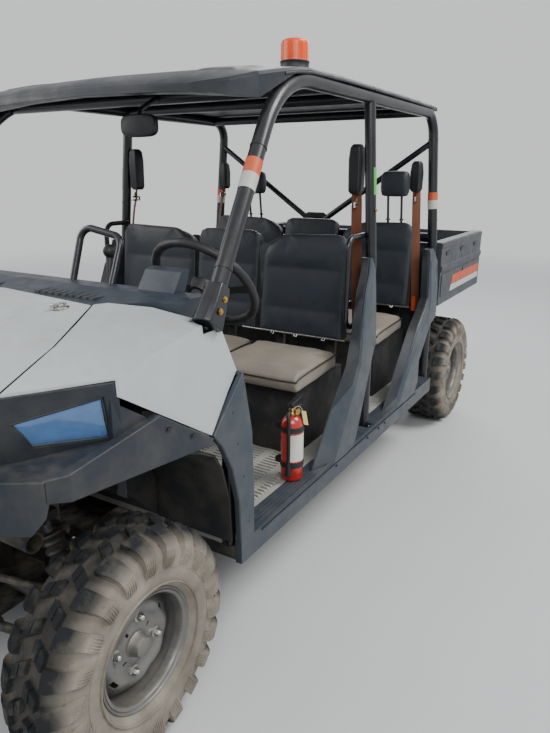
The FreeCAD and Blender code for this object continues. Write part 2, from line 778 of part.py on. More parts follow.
def knuckle(tag, side):
    """Upright between the ball joints, with its hub ring and steering arm."""
    z = S.tyre_radius
    x = kingpin_x * side
    gap = 0.5
    low = z - S.ball_half_height + S.ball_housing + gap
    high = z + S.ball_half_height - S.ball_housing - gap
    parts = [rod("KnuckleRing" + tag, (x + 14 * side, front_axle_y, z), (x + 46 * side, front_axle_y, z), 62)]
    for name, end, ring in (("Lower", low, z - 50), ("Upper", high, z + 50)):
        parts.append(rod("KnucklePin%s%s" % (name, tag), (x, front_axle_y, end), (x, front_axle_y, ring), 17))
        inner = (x, x + 40 * side) if side > 0 else (x + 40 * side, x)
        outer = (end, ring) if name == "Lower" else (ring, end)
        parts.append(block("KnuckleWeb%s%s" % (name, tag), inner, (front_axle_y - 15, front_axle_y + 15), outer))
    arm_x = (kingpin_x - S.steer_arm_x) * side
    arm_z = z + 62
    parts.append(rod("SteerArmA" + tag, (x, front_axle_y, arm_z), (arm_x, front_axle_y + S.steer_arm_y, arm_z), 10))
    parts.append(rod("SteerArmB" + tag, (arm_x, front_axle_y + S.steer_arm_y, arm_z - 12),
                     (arm_x, front_axle_y + S.steer_arm_y, arm_z + 12), 14))
    solid = fuse("KnuckleSolid" + tag, parts)
    bore = rod("KnuckleBore" + tag, (x + 10 * side, front_axle_y, z), (x + 60 * side, front_axle_y, z),
               S.hub_radius + S.hub_gap)
    node("knuckle_" + tag, cut("Knuckle" + tag, solid, [bore]))


def rack_and_rods():
    """Rack bar, and the tie rods out to the steering arms."""
    z = S.rack_z
    ends = [rod("RackBar", (-S.rack_half, S.rack_y, z), (S.rack_half, S.rack_y, z), 13)]
    for sign in (-1, 1):
        ends.append(rod("RackClevis%d" % sign, ((S.rack_half - 40) * sign, S.rack_y, z),
                        (S.rack_half * sign, S.rack_y, z), 17))
    node("steering_rack", fuse("SteeringRack", ends))
    arm_z = S.tyre_radius + 62
    for tag, side in (("left", 1), ("right", -1)):
        inner = ((S.rack_half + 13.5) * side, S.rack_y, z)
        eye_x = (kingpin_x - S.steer_arm_x) * side
        eye_y = front_axle_y + S.steer_arm_y
        eye_z = arm_z - 12 - 6 - 10
        parts = [rod("TieRod" + tag, inner, (eye_x, eye_y, eye_z), 8),
                 rod("TieEye" + tag, (eye_x, eye_y, eye_z - 10), (eye_x, eye_y, eye_z + 10), 14),
                 ball("TieBall" + tag, inner, 13)]
        node("tie_rod_" + tag, fuse("TieRodWhole" + tag, parts))


def steering_wheel():
    """Rim, three spokes and hub, on a column raked back to the driver."""
    rake = math.radians(float(S.steering_rake))
    centre = point((S.steering_wheel_x, S.steering_wheel_y, S.steering_wheel_z))
    axis = Vector(0, math.cos(rake), math.sin(rake))
    across = Vector(1, 0, 0)
    upward = axis.cross(across) * -1
    rim = doc.addObject("Part::Feature", "SteeringRim")
    parts = [Part.makeTorus(float(S.steering_wheel_radius), float(S.steering_rim_radius), centre, axis)]
    hub_back = centre - axis * 45
    parts.append(Part.makeCylinder(38, 38, hub_back, axis))
    for degrees in (0, 180, 270):
        turn = math.radians(degrees)
        run = across * math.cos(turn) + upward * math.sin(turn)
        parts.append(Part.makeCylinder(9, float(S.steering_wheel_radius) + 4, centre - axis * 24,
                                       (run * float(S.steering_wheel_radius) + axis * 24).normalize()))
    rim.Shape = parts[0].multiFuse(parts[1:])
    node("steering_wheel", rim)
    column = doc.addObject("Part::Feature", "ColumnBar")
    column.Shape = Part.makeCylinder(24, 300, centre - axis * 345.5, axis)
    return column


for tag, side in (("left", 1), ("right", -1)):
    knuckle(tag, side)
rack_and_rods()
column_bar = steering_wheel()


# Nose: one skin over the front, cut where its panels meet

# y, middle z, seam x, seam z, ridge x, ridge z, foot x
SKIN_SECTIONS = (
    (-1945, 1072, 700, 1058, 762, 1042, 775),
    (-1480, 1142, 552, 1128, 768, 1096, 777),
    (-1310, 1165, 470, 1152, 752, 1121, 777),
    (-1035, 1203, 400, 1197, 733, 1150, 777),
)
SKIN_FOOT_Z = 700

# Plan of the nose's outer edge, from the middle round to the side: x, y
NOSE_PLAN = ((0, -1930), (300, -1915), (480, -1850), (640, -1690), (775, -1480))
# y and z of the hood's hinge
HOOD_HINGE = (-1909, 1073)
BAND_LOW = 770
BAND_HIGH = 1120

# Outlines in plan: x, y
HOOD_PLAN = ((0, -1904), (295, -1891), (472, -1830), (630, -1683), (538, -1455), (396, -1192), (0, -1177))
FENDER_PLAN = ((636, -1676), (768, -1471), (800, -1421), (800, -1038), (690, -1038), (682, -1096), (549, -1106),
               (430, -1161), (402, -1187), (544, -1452))
FLARE_PLAN = ((782, -1100), (782, -1483), (664, -1668), (640, -1650), (752, -1474), (752, -1100))
FLARE_ROOM_PLAN = ((790, -1095), (790, -1485), (666, -1673), (632, -1651), (749, -1472), (749, -1095))
LINER_PLAN = ((440, -1640), (570, -1640), (694, -1450), (742, -1395), (742, -1000), (440, -1000))

# Outlines from the side: y, z
FENDER_SIDE = ((-1720, 1040), (-1507, 1072), (-1351, 972), (-1136, 832), (-1070, 1128), (-1037, 1150), (-1037, 1260),
               (-1720, 1260))
LENS_SIDE = ((-1503, 1052), (-1716, 1012), (-1690, 962), (-1492, 946))
FLARE_SIDE = ((-1130, 814), (-1139, 826), (-1351, 966), (-1480, 1050), (-1496, 930), (-1632, 922), (-1645, 812),
              (-1500, 868), (-1429, 874), (-1241, 825), (-1170, 792))
ARCH_SIDE = ((-1640, 800), (-1560, 850), (-1429, 862), (-1250, 815), (-1150, 772), (-1094, 740), (-1056, 680),
             (-1022, 560), (-1014, 412), (-1006, 412), (-1014, 562), (-1048, 684), (-1088, 746), (-1148, 780),
             (-1248, 823), (-1429, 870), (-1562, 858), (-1646, 806))
FIREWALL_SIDE = ((-1186, 1123.7), (-1186, 700), (-1150, 560), (-1004, 412), (-994, 412), (-1140, 564), (-1176, 702),
                 (-1176, 1123.7))
CHEEK_SIDE = ((-1186, 1000), (-1186, 700), (-1150, 560), (-1010, 418), (-1016, 562), (-1050, 684), (-1090, 746),
              (-1150, 776))


def skin_corners(row, depth):
    _, middle_z, seam_x, seam_z, ridge_x, ridge_z, foot_x = row
    slope = depth * 0.8
    return [(0.0, middle_z - depth), (seam_x, seam_z - depth), (ridge_x - slope, ridge_z - depth),
            (foot_x - depth, SKIN_FOOT_Z)]


def nose_skin():
    """The crowned skin over hood and fenders, before it is cut into panels."""
    sections = []
    for index, row in enumerate(SKIN_SECTIONS):
        outer = skin_corners(row, 0)
        inner = skin_corners(row, S.skin)
        corners = [(-x, z) for x, z in reversed(outer[1:])] + outer
        corners += list(reversed(inner)) + [(-x, z) for x, z in inner[1:]]
        sections.append(section("SkinSection%d" % index, row[0], corners))
    return loft("NoseSkin", sections)


def under_skin(name, gap):
    """The room below the skin, which trims what fits under it."""
    sections = []
    for index, row in enumerate(SKIN_SECTIONS):
        inner = skin_corners(row, S.skin + gap)
        corners = [(-x, z) for x, z in reversed(inner[1:])] + inner
        corners += [(inner[-1][0], 250.0), (-inner[-1][0], 250.0)]
        sections.append(section("%sSection%d" % (name, index), row[0], corners))
    return loft(name + "Room", sections)


def hood_and_fenders():
    skin = nose_skin()
    lid = plate("HoodPlan", "plan", both_halves(HOOD_PLAN), 900, 1300)
    node("hood", common("Hood", skin, lid))
    plan = plate("FenderPlan", "plan", FENDER_PLAN, 700, 1300)
    side = plate("FenderSide", "side", FENDER_SIDE, 380, 800)
    panel = common("FenderPanel", common("FenderShape", skin, plan), side)
    foot = block("PillarNotch", (686, 790), (-1124, -1030), (1116, 1300))
    node("front_fenders", both_sides("Fenders", cut("Fender", panel, [foot])))


def hood_latches():
    """Two over centre latches at the hood's back edge."""
    latch = fuse("Latch", [
        block("LatchBase", (302, 356), (-1262, -1226), (1169.6, 1178)),
        block("LatchLever", (312, 346), (-1254, -1234), (1178, 1186)),
    ])
    node("hood_latches", both_sides("Latches", latch))


def nose_band(name, inset, depth):
    """A band that follows the nose in plan, leaning back below."""
    sections = []
    for tag, height, back in (("Low", BAND_LOW, 40), ("High", BAND_HIGH, 0)):
        outer = [(x - (inset + back) * (x > 0), y + inset + back) for x, y in NOSE_PLAN]
        inner = [(max(x - depth, 0), y + depth) for x, y in outer]
        corners = [(-x, y) for x, y in reversed(outer[1:])] + outer
        corners += list(reversed(inner)) + [(-x, y) for x, y in inner[1:]]
        sections.append(level(name + tag, height, corners))
    return loft(name, sections)


def flare(name, plan, side, grow):
    shape = plate(name + "Plan", "plan", plan, 700, 1100)
    return common(name, shape, plate(name + "Side", "side", side, 600 - grow, 800 + grow))


def fascia_and_lamps():
    """Dark nose moulding below the hood, with its lamps and grille, and the bands over the arches."""
    trimmed = common("FasciaTrimmed", nose_band("FasciaBand", 0, 22), under_skin("Under", 2))
    flare_room = flare("FlareRoom", FLARE_ROOM_PLAN, ((-1090, 780), (-1140, 840), (-1351, 980), (-1485, 1064),
                                                      (-1505, 936), (-1640, 928), (-1655, 760)), 10)
    arch_room = block("ArchRoom", (480, 800), (-1640, -1440), (700, 926))
    holes = [flare_room, mirrored("FlareRoomRight", flare_room), arch_room, mirrored("ArchRoomRight", arch_room)]
    hole = plate("LensHole", "side", LENS_SIDE, 430, 800)
    holes += [hole, mirrored("LensHoleRight", hole)]
    for index in range(4):
        z = 810 + 44 * index
        holes.append(block("GrilleSlot%d" % index, (-300, 300), (nose_y - 5, nose_y + 90), (z, z + 26)))
    fascia = cut("FasciaCut", trimmed, holes)
    barrel = rod("HoodBarrel", (-40, HOOD_HINGE[0], HOOD_HINGE[1]), (40, HOOD_HINGE[0], HOOD_HINGE[1]), 4.7)
    node("nose_fascia", fuse("Fascia", [fascia, barrel]))
    middle_y = sum(y for y, _ in LENS_SIDE) / 4
    middle_z = sum(z for _, z in LENS_SIDE) / 4
    small = [(middle_y + (y - middle_y) * 0.997, middle_z + (z - middle_z) * 0.993) for y, z in LENS_SIDE]
    prism = plate("LensPrism", "side", small, 430, 800)
    node("headlamps", both_sides("Headlamps", common("Lens", nose_band("LensBand", 2, 16), prism)))
    node("wheel_flares", both_sides("Flares", flare("Flare", FLARE_PLAN, FLARE_SIDE, 0)))


def front_liner():
    """Wheel house liners, under hood tray and firewall with its toe board."""
    arch = common("Liner", plate("LinerArch", "side", ARCH_SIDE, 440, 745), plate("LinerPlan", "plan", LINER_PLAN, 400, 900))
    firewall = plate("Firewall", "side", FIREWALL_SIDE, -440, 440)
    inner = plate("LinerCheek", "side", CHEEK_SIDE, 434, 442)
    tray = block("Tray", (-427.6, 427.6), (-1797.6, -1180), (856, 864))
    post = common("FenderPost", block("FenderPostBlock", (600, 640), (-1300, -1270), (812, 1200)), under_skin("Post", S.fit_gap))
    half = fuse("LinerHalf", [arch, inner, post])
    node("front_liner", fuse("FrontLiner", [half, mirrored("LinerRight", half), firewall, tray]))


hood_and_fenders()
hood_latches()
fascia_and_lamps()
front_liner()


# Cab

# Outlines from the side: y, z
DASH_SIDE = ((-1184, 1124), (-1184, 1166), (-1040, 1190), (-955, 1186), (-905, 1150), (-893, 1050), (-930, 900),
             (-1010, 846), (-1168, 846), (-1168, 1124))
POD_SIDE = ((-1008, 1186), (-1008, 1190), (-968, 1248), (-928, 1254), (-957, 1180))
DOOR_EDGE = ((-1042, 1116), (-978, 981), (-933, 774), (-924, 562), (-926, 410.3))
ARCH_EDGE = ((-998, 410.3), (-1012, 562), (-1044, 685), (-1092, 778), (-1132, 818), (-1064, 1116))
PILLAR_BLADE = ((-36, 1186), (132, 1180), (200, 850), (300, 480), (306, 410.3), (-408, 410.3), (-376, 452))
PILLAR_HOLLOW = ((78, 1200), (160, 1200), (160, 1080), (186, 850), (286, 480), (290, 400), (20, 400), (30, 850))
QUARTER_BLADE = ((880, 1186), (1000, 1186), (1000, 1068), (962, 864), (872, 757), (820, 600), (800, 410.3),
                 (560, 410.3), (600, 500), (790, 900))
# Plan of the dash: x, y
DASH_PLAN = ((0, -1172), (390, -1186), (424, -1157), (545, -1101), (640, -1092), (640, -885), (0, -885))
# The cab's outline from the front, which leans in above the belt line: x, z
CAB_LEAN = ((0, 300), (panel_outer, 300), (panel_outer, 760), (panel_outer - 6, 900), (panel_outer - 30, 1190), (0, 1190))


def dash():
    """Cowl and dashboard in one moulding between the fenders, with the instrument pod on it."""
    body = plate("DashProfile", "side", DASH_SIDE, -640, 640)
    room = plate("DashPlan", "plan", both_halves(DASH_PLAN), 700, 1300)
    pod = plate("Pod", "side", POD_SIDE, 405, 548)
    return node("dash", fuse("Dash", [common("DashShape", body, room), pod]))


def steering_column(dash_body):
    node("steering_column", cut("Column", column_bar, [dash_body]))


def floor():
    """Ribbed floor from the toe board to the rear seats."""
    half = floor_half
    base = block("FloorSlab", (-half, half), (S.floor_front, S.floor_rear), (S.rail_top, S.floor_top - S.floor_rib))
    ribs = []
    for index in range(12):
        x = -605 + 110 * index
        for name, low, high in (("FloorRib", S.floor_front + 20, -345), ("RearRib", 122, 490)):
            ribs.append(block("%s%d" % (name, index), (x - 18, x + 18), (low, high),
                              (S.floor_top - S.floor_rib, S.floor_top)))
    node("floor", fuse("Floor", [base] + ribs))


def rocker_panels():
    """Sills along both sides, below the door openings."""
    outer = S.sill_outer
    wall = block("SillWall", (outer - 24, outer), (-1000, 960), (S.sill_bottom, S.floor_top))
    ledge = block("SillLedge", (floor_half + S.fit_gap, outer - 24), (-1000, 960), (S.floor_top - 12, S.floor_top))
    rooms = []
    for index, y in enumerate((S.a_leg_y, S.b_low_y, S.c_low_y)):
        rooms.append(block("LegRoom%d" % index, (floor_half - 10, outer - 25), (y - 30, y + 30),
                           (S.floor_top - 20, S.floor_top + 5)))
    node("rocker_panels", both_sides("Rockers", cut("Rocker", fuse("RockerSolid", [wall, ledge]), rooms)))


def side_panels():
    """Panels between the front wheels and the door openings, with their door side returns."""
    inner = [(y - 12, z) for y, z in reversed(DOOR_EDGE)]
    skin = plate("SideSkin", "side", DOOR_EDGE + ARCH_EDGE, S.sill_outer - 15, S.sill_outer)
    back = plate("SideReturn", "side", list(DOOR_EDGE) + inner, floor_half + 8, S.sill_outer - 15)
    node("side_panels", both_sides("SidePanels", fuse("SidePanel", [skin, back])))


def pillar_panels(lean):
    """Blades over the feet of the middle pillars, widening down to the sills."""
    shell = plate("BladeShell", "side", PILLAR_BLADE, floor_half + 8, panel_outer)
    hollow = plate("BladeHollow", "side", PILLAR_HOLLOW, floor_half - 6, panel_outer - 34)
    node("pillar_panels", both_sides("Blades", common("Blade", cut("BladeCut", shell, [hollow]), lean)))


def quarter_panels(lean):
    """Blades between the rear door openings and the rear wheels."""
    shell = plate("QuarterShell", "side", QUARTER_BLADE, panel_outer - 32, panel_outer)
    node("quarter_panels", both_sides("Quarters", common("Quarter", shell, lean)))


def bulkhead():
    """Wall behind the rear seats, between cab and engine."""
    half = floor_half - 2
    node("rear_bulkhead", block("Bulkhead", (-half, half), (S.floor_rear, S.floor_rear + 12),
                                (S.rail_top, S.belt_line_z - 30)))


dash_body = dash()
cab_lean = plate("CabLean", "front", both_halves(CAB_LEAN), -1100, 1100)
steering_column(dash_body)
floor()
rocker_panels()
side_panels()
pillar_panels(cab_lean)
quarter_panels(cab_lean)
bulkhead()


# Seats

# name, front of the cushion
SEAT_ROWS = (("front", S.front_cushion_y), ("rear", S.rear_cushion_y))
POST_XS = (-560, -230, 10, 290, 560)
# tag, middle of the head restraint
RESTRAINTS = (("Left", 523), ("Right", -372))
seat_gap = 4


def seat_spans():
    """The three cushions across a row: low x, high x."""
    return ((-S.cushion_half, S.passenger_split_x - seat_gap),
            (S.passenger_split_x + seat_gap, S.driver_split_x - seat_gap),
            (S.driver_split_x + seat_gap, S.cushion_half))


def seat_row(name, start):
    """Box base with back posts, three cushions and three backs."""
    base_parts = [block("Base_" + name, (-S.seat_base_half, S.seat_base_half), (start + 65, start + 505),
                        (S.floor_top - S.floor_rib + S.fit_gap, S.cushion_bottom))]
    low = S.back_bottom
    high = S.back_top
    face = start + S.back_offset
    rear = face + S.back_thickness
    post_top = high - 46
    post = [(rear - 12.4, S.cushion_bottom), (rear + 15, S.cushion_bottom), (rear + S.back_lean + 9.5, post_top),
            (rear + S.back_lean - 4.5, post_top)]
    for index, x in enumerate(POST_XS):
        base_parts.append(plate("Post%d_%s" % (index, name), "side", post, x - 20, x + 20))
    node("seat_base_" + name, fuse("SeatBase_" + name, base_parts))
    cushions = []
    backs = []
    back = [(face, low), (rear, low), (rear + S.back_lean, high), (face + S.back_lean, high)]
    for index, (left, right) in enumerate(seat_spans()):
        cushions.append(block("Cushion%d_%s" % (index, name), (left, right), (start, start + S.cushion_length),
                              (S.cushion_bottom + S.fit_gap, S.cushion_top)))
        backs.append(plate("Back%d_%s" % (index, name), "side", back, left, right))
    node("seat_cushion_" + name, group("Cushions_" + name, cushions))
    node("seat_back_" + name, group("Backs_" + name, backs))


def head_restraints():
    """Two pads on stems above the rear backs."""
    parts = []
    for tag, x in RESTRAINTS:
        pad = block("RestPad" + tag, (x - 80, x + 80), (845, 912), (1412, 1548))
        stems = [rod("RestStem%s%d" % (tag, sign), (x + 45 * sign, 882, S.back_top + S.fit_gap),
                     (x + 45 * sign, 882, 1420), 7) for sign in (-1, 1)]
        parts.append(fuse("Rest" + tag, [pad] + stems))
    node("head_restraints", group("HeadRestraints", parts))


for row in SEAT_ROWS:
    seat_row(*row)
head_restraints()


# Cage and roof

# y and z of the bars across the roof
ROOF_BARS = ((S.a_top_y + 30, S.cage_top_z - 2), (S.b_top_y, S.cage_top_z), (S.c_top_y - 60, S.cage_top_z))
bar_radius = S.cage_radius - 3
guard_x = 681


def cage_side():
    """One side of the cage: front pillar and roof rail in one bent tube, two more legs and a hip guard."""
    foot = (S.pillar_foot_x, S.pillar_foot_y, S.pillar_foot_z)
    front_top = (S.cage_top_x, S.a_top_y, S.cage_top_z)
    front = bent_tube("FrontPillar", [foot, front_top, (S.cage_top_x, S.c_top_y, S.cage_top_z),
                                      (S.cage_low_x, S.c_low_y, S.belt_line_z), (S.cage_low_x, S.c_low_y, S.rail_top)],
                      S.cage_radius, 120)
    leg = bent_tube("FrontLeg", [(710, S.a_leg_y, S.rail_top), (710, S.a_leg_y, 800), (706, -1084, 1132)], 21, 120)
    middle = bent_tube("MiddlePillar", [(S.cage_top_x, S.b_top_y, S.cage_top_z), (S.cage_low_x, S.b_low_y, S.belt_line_z),
                                        (S.cage_low_x, S.b_low_y, S.rail_top)], S.cage_radius - 2, 200)
    guard = bent_tube("HipGuard", [(guard_x, S.b_low_y, 900), (guard_x, -60, 900), (guard_x, -60, 1280),
                                   (guard_x, 90, 1280)], 12, 50)
    run = (point(front_top) - point(foot)).normalize()
    collar = doc.addObject("Part::Feature", "FootCollar")
    collar.Shape = Part.makeCone(39, 30, 90, point(foot) - run * 6, run)
    ring = doc.addObject("Part::Feature", "FootRing")
    ring.Shape = Part.makeCylinder(32, 16, point(foot) + run * 112, run)
    return fuse("CageSide", [front, leg, middle, guard, collar, ring])


def cage():
    """Both sides, the bars across and the V brace behind the rear seats."""
    left = cage_side()
    right = mirrored("CageRight", left)
    node("cage_left", left)
    node("cage_right", right)
    bars = []
    for index, (y, z) in enumerate(ROOF_BARS):
        bars.append(rod("RoofBar%d" % index, (-S.cage_top_x, y, z), (S.cage_top_x, y, z), bar_radius))
    belt = S.belt_line_z + 40
    vee = [rod("BeltBar", (-S.cage_low_x, S.c_low_y, belt), (S.cage_low_x, S.c_low_y, belt), bar_radius)]
    for sign in (-1, 1):
        vee.append(rod("Brace%d" % sign, (0, 975, 1236), (672 * sign, 930, 1693), 16))
    whole = group("CageBarsWhole", bars + [fuse("Vee", vee)])
    node("cage_crossbars", cut("CageBars", whole, [left, right]))


def roof():
    """Two moulded panels with a lip down over the front bar."""
    half = S.roof_half
    seam = S.b_top_y
    profile = [(S.roof_front, 1750), (S.roof_front - 6, 1800), (S.roof_front + 60, 1850), (-560, 1880), (-200, S.roof_top),
               (seam - 3, S.roof_top), (seam - 3, S.roof_bottom), (-660, S.roof_bottom), (-735, 1750)]
    front = plate("RoofFront", "side", profile, -half, half)
    rear = block("RoofRear", (-half, half), (seam + 3, S.roof_rear), (S.roof_bottom, S.roof_top))
    low = S.roof_top - 14
    corner = block("RoofCorner", (605, 700), (-820, -560), (1700, S.roof_bottom))
    tools = [block("RoofChannelA", (-330, 330), (-520, seam - 30), (low, S.roof_top + 5)), corner,
             mirrored("RoofCornerRight", corner)]
    channel = block("RoofChannelB", (-330, 330), (seam + 30, S.roof_rear - 60), (low, S.roof_top + 5))
    node("roof", group("Roof", [cut("RoofFrontCut", front, tools), cut("RoofRearCut", rear, [channel])]))


def beacon():
    """Amber warning lamp on its black base."""
    x, y, z = S.beacon_x, S.beacon_y, S.roof_top
    base = rod("BeaconBase", (x, y, z), (x, y, z + 22), S.beacon_radius + 8)
    lens = rod("BeaconLens", (x, y, z + 22), (x, y, z + S.beacon_height), S.beacon_radius)
    node("beacon", fuse("Beacon", [base, lens]))


def mirror():
    head = block("MirrorHead", (80, 240), (-700, -672), (1652, 1722))
    bar_y, bar_z = ROOF_BARS[0]
    stem = rod("MirrorStem", (160, -680, 1718), (160, bar_y, bar_z), 8)
    bar = rod("MirrorBar", (140, bar_y, bar_z), (180, bar_y, bar_z), bar_radius + S.fit_gap)
    node("mirror", cut("Mirror", fuse("MirrorWhole", [head, stem]), [bar]))


cage()
roof()
beacon()
mirror()


# Cab fittings

# name, middle x, half width of the pad
PEDALS = (("Accelerator", 315, 26), ("Brake", 395, 38))
# row, y of the box, its outer x, y of the strap
BELTS = (("Front", (94, 150), 691.3, (98, 142)), ("Rear", (936, 984), 689.3, (918, 958)))


def grab_bar():
    """Passenger's grab bar: a hoop on the dash."""
    hoop = bent_tube("GrabHoop", [(70, -965, 1172), (70, -900, 1360), (250, -900, 1330), (250, -965, 1172)], 12, 40)
    node("grab_bar", cut("GrabBar", hoop, [dash_body]))


def cab_controls():
    """Gear lever on the dash, and two pedals hung below it."""
    lever = fuse("GearLever", [rod("LeverStem", (170, -900, 1135), (150, -860, 1270), 8),
                               ball("LeverKnob", (150, -860, 1275), 24)])
    parts = [cut("GearLeverCut", lever, [dash_body])]
    for name, x, wide in PEDALS:
        bar = plate(name + "Arm", "side", [(-1090, 845.7), (-1075, 845.7), (-1010, 600), (-1025, 596)], x - 6, x + 6)
        pad = plate(name + "Pad", "side", [(-1034, 640), (-1010, 600), (-985, 545), (-1000, 540)], x - wide, x + wide)
        parts.append(fuse(name, [bar, pad]))
    node("cab_controls", group("CabControls", parts))


def extinguisher():
    """Fire extinguisher in a clamp on the floor, beside the driver's seat."""
    x, y = 690, -530
    low = S.floor_top + S.fit_gap
    parts = [rod("Bottle", (x, y, low), (x, y, 640), 43), ball("Shoulder", (x, y, 640), 43),
             rod("Valve", (x, y, 670), (x, y, 720), 14), block("Levers", (x - 10, x + 10), (y - 14, y + 60), (716, 728)),
             rod("Clamp", (x, y, 560), (x, y, 592), 46),
             block("ClampFoot", (x - 60, x - 40), (y - 25, y + 25), (low, 592))]
    node("fire_extinguisher", fuse("Extinguisher", parts))


def belts():
    """Retractors on the pillars, and the straps that run up from them."""
    boxes = []
    straps = []
    for tag, box_y, box_x, strap_y in BELTS:
        boxes.append(both_sides("Retractors" + tag, block("Retractor" + tag, (654, box_x), box_y, (700, 820))))
        strap = plate("Strap" + tag, "front", [(660, 820.3), (668, 820.3), (652, 1600), (644, 1600)], *strap_y)
        straps.append(both_sides("Straps" + tag, strap))
    node("belt_retractors", group("Retractors", boxes))
    node("seat_belts", group("SeatBelts", straps))


grab_bar()
cab_controls()
extinguisher()
belts()


# Bed

ear_low = frame_high + 4
ear_high = frame_high + 14
gate_gap = 10
gate_axis_y = tail_y - S.gate_thickness / 2
gate_axis_z = S.bed_floor + 10
LAMP_Z = (985, 1115)


def bed():
    """Double walled cargo box, open at the back, on its two tilt ears."""
    half = S.bed_half
    inner = half - S.bed_wall
    floor_end = tail_y - S.gate_thickness - gate_gap
    tub = block("Tub", (-half, half), (S.bed_front, tail_y), (S.bed_bottom, S.bed_top))
    lamp_room = block("LampRoom", (inner + 6, half - 8), (tail_y - 12, tail_y + 5), LAMP_Z)
    hollows = [
        block("TubHollow", (-inner, inner), (S.bed_front + 32, tail_y + 5), (S.bed_floor, S.bed_top + 5)),
        block("GateRoom", (-inner, inner), (floor_end, tail_y + 5), (S.bed_bottom - 5, S.bed_floor + 5)),
        lamp_room, mirrored("LampRoomRight", lamp_room),
    ]
    ear = block("BedEar", (ear_low, ear_high), (S.bed_pivot_y - 40, S.bed_pivot_y + 40), (S.bed_pivot_z - 26, S.bed_bottom))
    bore = rod("BedEarBore", (-ear_high - 5, S.bed_pivot_y, S.bed_pivot_z), (ear_high + 5, S.bed_pivot_y, S.bed_pivot_z),
               8.5)
    pin_bore = rod("GatePinBore", (-inner - 9, gate_axis_y, gate_axis_z), (inner + 9, gate_axis_y, gate_axis_z), 6.3)
    tub_shape = fuse("BedSolid", [cut("BedTub", tub, hollows), ear, mirrored("BedEarRight", ear)])
    node("bed", cut("Bed", tub_shape, [bore, pin_bore]))
    lamp = block("TailLamp", (inner + 6.3, half - 8.3), (tail_y - 11.7, tail_y), (LAMP_Z[0] + 0.3, LAMP_Z[1] - 0.3))
    node("tail_lamps", both_sides("TailLamps", lamp))


def tailgate():
    half = S.bed_half - S.bed_wall - 5
    panel = block("Gate", (-half, half), (tail_y - S.gate_thickness, tail_y), (S.bed_floor + 4, S.bed_top))
    pin = rod("GatePin", (-half - 12, gate_axis_y, gate_axis_z), (half + 12, gate_axis_y, gate_axis_z), 6)
    node("tailgate", fuse("TailGate", [panel, pin]))


bed()
tailgate()


# Checks and files

def write_parts():
    """Refuses a failed feature or a bad solid, then writes each sub-part to its own file."""
    doc.recompute()
    for thing in doc.Objects:
        if "Invalid" in thing.State or "Error" in thing.State:
            raise RuntimeError("%s failed: %s" % (thing.Name, thing.State))
    for thing in NODES:
        if thing.Shape.isNull() or not thing.Shape.isValid() or not thing.Shape.Solids:
            raise RuntimeError("%s has no valid solid" % thing.Label)
    os.makedirs("parts", exist_ok=True)
    for thing in NODES:
        thing.Shape.exportStep("parts/%s.step" % thing.Label)
        print("%-22s %2d solids  %10.0f mm3" % (thing.Label, len(thing.Shape.Solids), thing.Shape.Volume))
    print("%d sub-parts" % len(NODES))


write_parts()
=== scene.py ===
"""Looks of the crew cab side by side vehicle: materials, dressed panels, trim and soft parts.

Lengths in the tables are millimetres in the vehicle's frame: forward -Y, driver's side +X, up +Z.
"""

import math

import bmesh
import bpy
from mathutils import Matrix, Vector


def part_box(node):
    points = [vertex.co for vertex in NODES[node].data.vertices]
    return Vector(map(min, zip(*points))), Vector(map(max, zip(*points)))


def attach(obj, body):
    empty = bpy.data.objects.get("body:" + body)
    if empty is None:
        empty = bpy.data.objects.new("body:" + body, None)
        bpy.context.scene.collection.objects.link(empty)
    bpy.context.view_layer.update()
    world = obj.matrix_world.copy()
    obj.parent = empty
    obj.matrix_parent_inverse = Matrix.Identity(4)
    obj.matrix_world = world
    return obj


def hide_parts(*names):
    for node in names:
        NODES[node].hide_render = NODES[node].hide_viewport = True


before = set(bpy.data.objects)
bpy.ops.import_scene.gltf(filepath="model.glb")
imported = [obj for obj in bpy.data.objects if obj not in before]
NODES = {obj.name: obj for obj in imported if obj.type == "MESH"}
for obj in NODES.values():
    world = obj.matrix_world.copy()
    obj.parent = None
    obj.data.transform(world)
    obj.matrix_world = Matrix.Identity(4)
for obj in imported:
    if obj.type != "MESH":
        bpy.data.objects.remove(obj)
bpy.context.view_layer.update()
MM = 0.001
FRONT_AXLE = -1435
REAR_AXLE = 1435
AXLE_Z = 330
SIDES = (("left", 1), ("right", -1))


# Camera, floor and light

# shade that the camera sees behind the vehicle, and its strength
BACKDROP = (0.86, 0.87, 0.88, 1)
BACKDROP_STRENGTH = 0.95


def make_camera():
    """The photograph's camera: place in metres, yaw from +Y towards -X, pitch down and roll, in radians."""
    place = Vector((1.73689, -2.41983, 1.53156))
    yaw, pitch, roll = 0.536047, 0.301673, -0.002813
    pixels_wide, pixels_high, focal_pixels, sensor = 550, 733, 620.36, 36.0
    ahead = Vector((-math.sin(yaw) * math.cos(pitch), math.cos(yaw) * math.cos(pitch), -math.sin(pitch)))
    level = Vector((math.cos(yaw), math.sin(yaw), 0))
    down = ahead.cross(level)
    right = level * math.cos(roll) + down * math.sin(roll)
    down = down * math.cos(roll) - level * math.sin(roll)
    data = bpy.data.cameras.new("camera")
    data.sensor_fit = "AUTO"
    data.sensor_width = sensor
    data.lens = sensor * focal_pixels / max(pixels_wide, pixels_high)
    data.clip_end = 200
    camera = bpy.data.objects.new("camera", data)
    turn = Matrix((right, -down, -ahead)).transposed().to_4x4()
    camera.matrix_world = Matrix.Translation(place) @ turn
    bpy.context.collection.objects.link(camera)
    bpy.context.scene.camera = camera


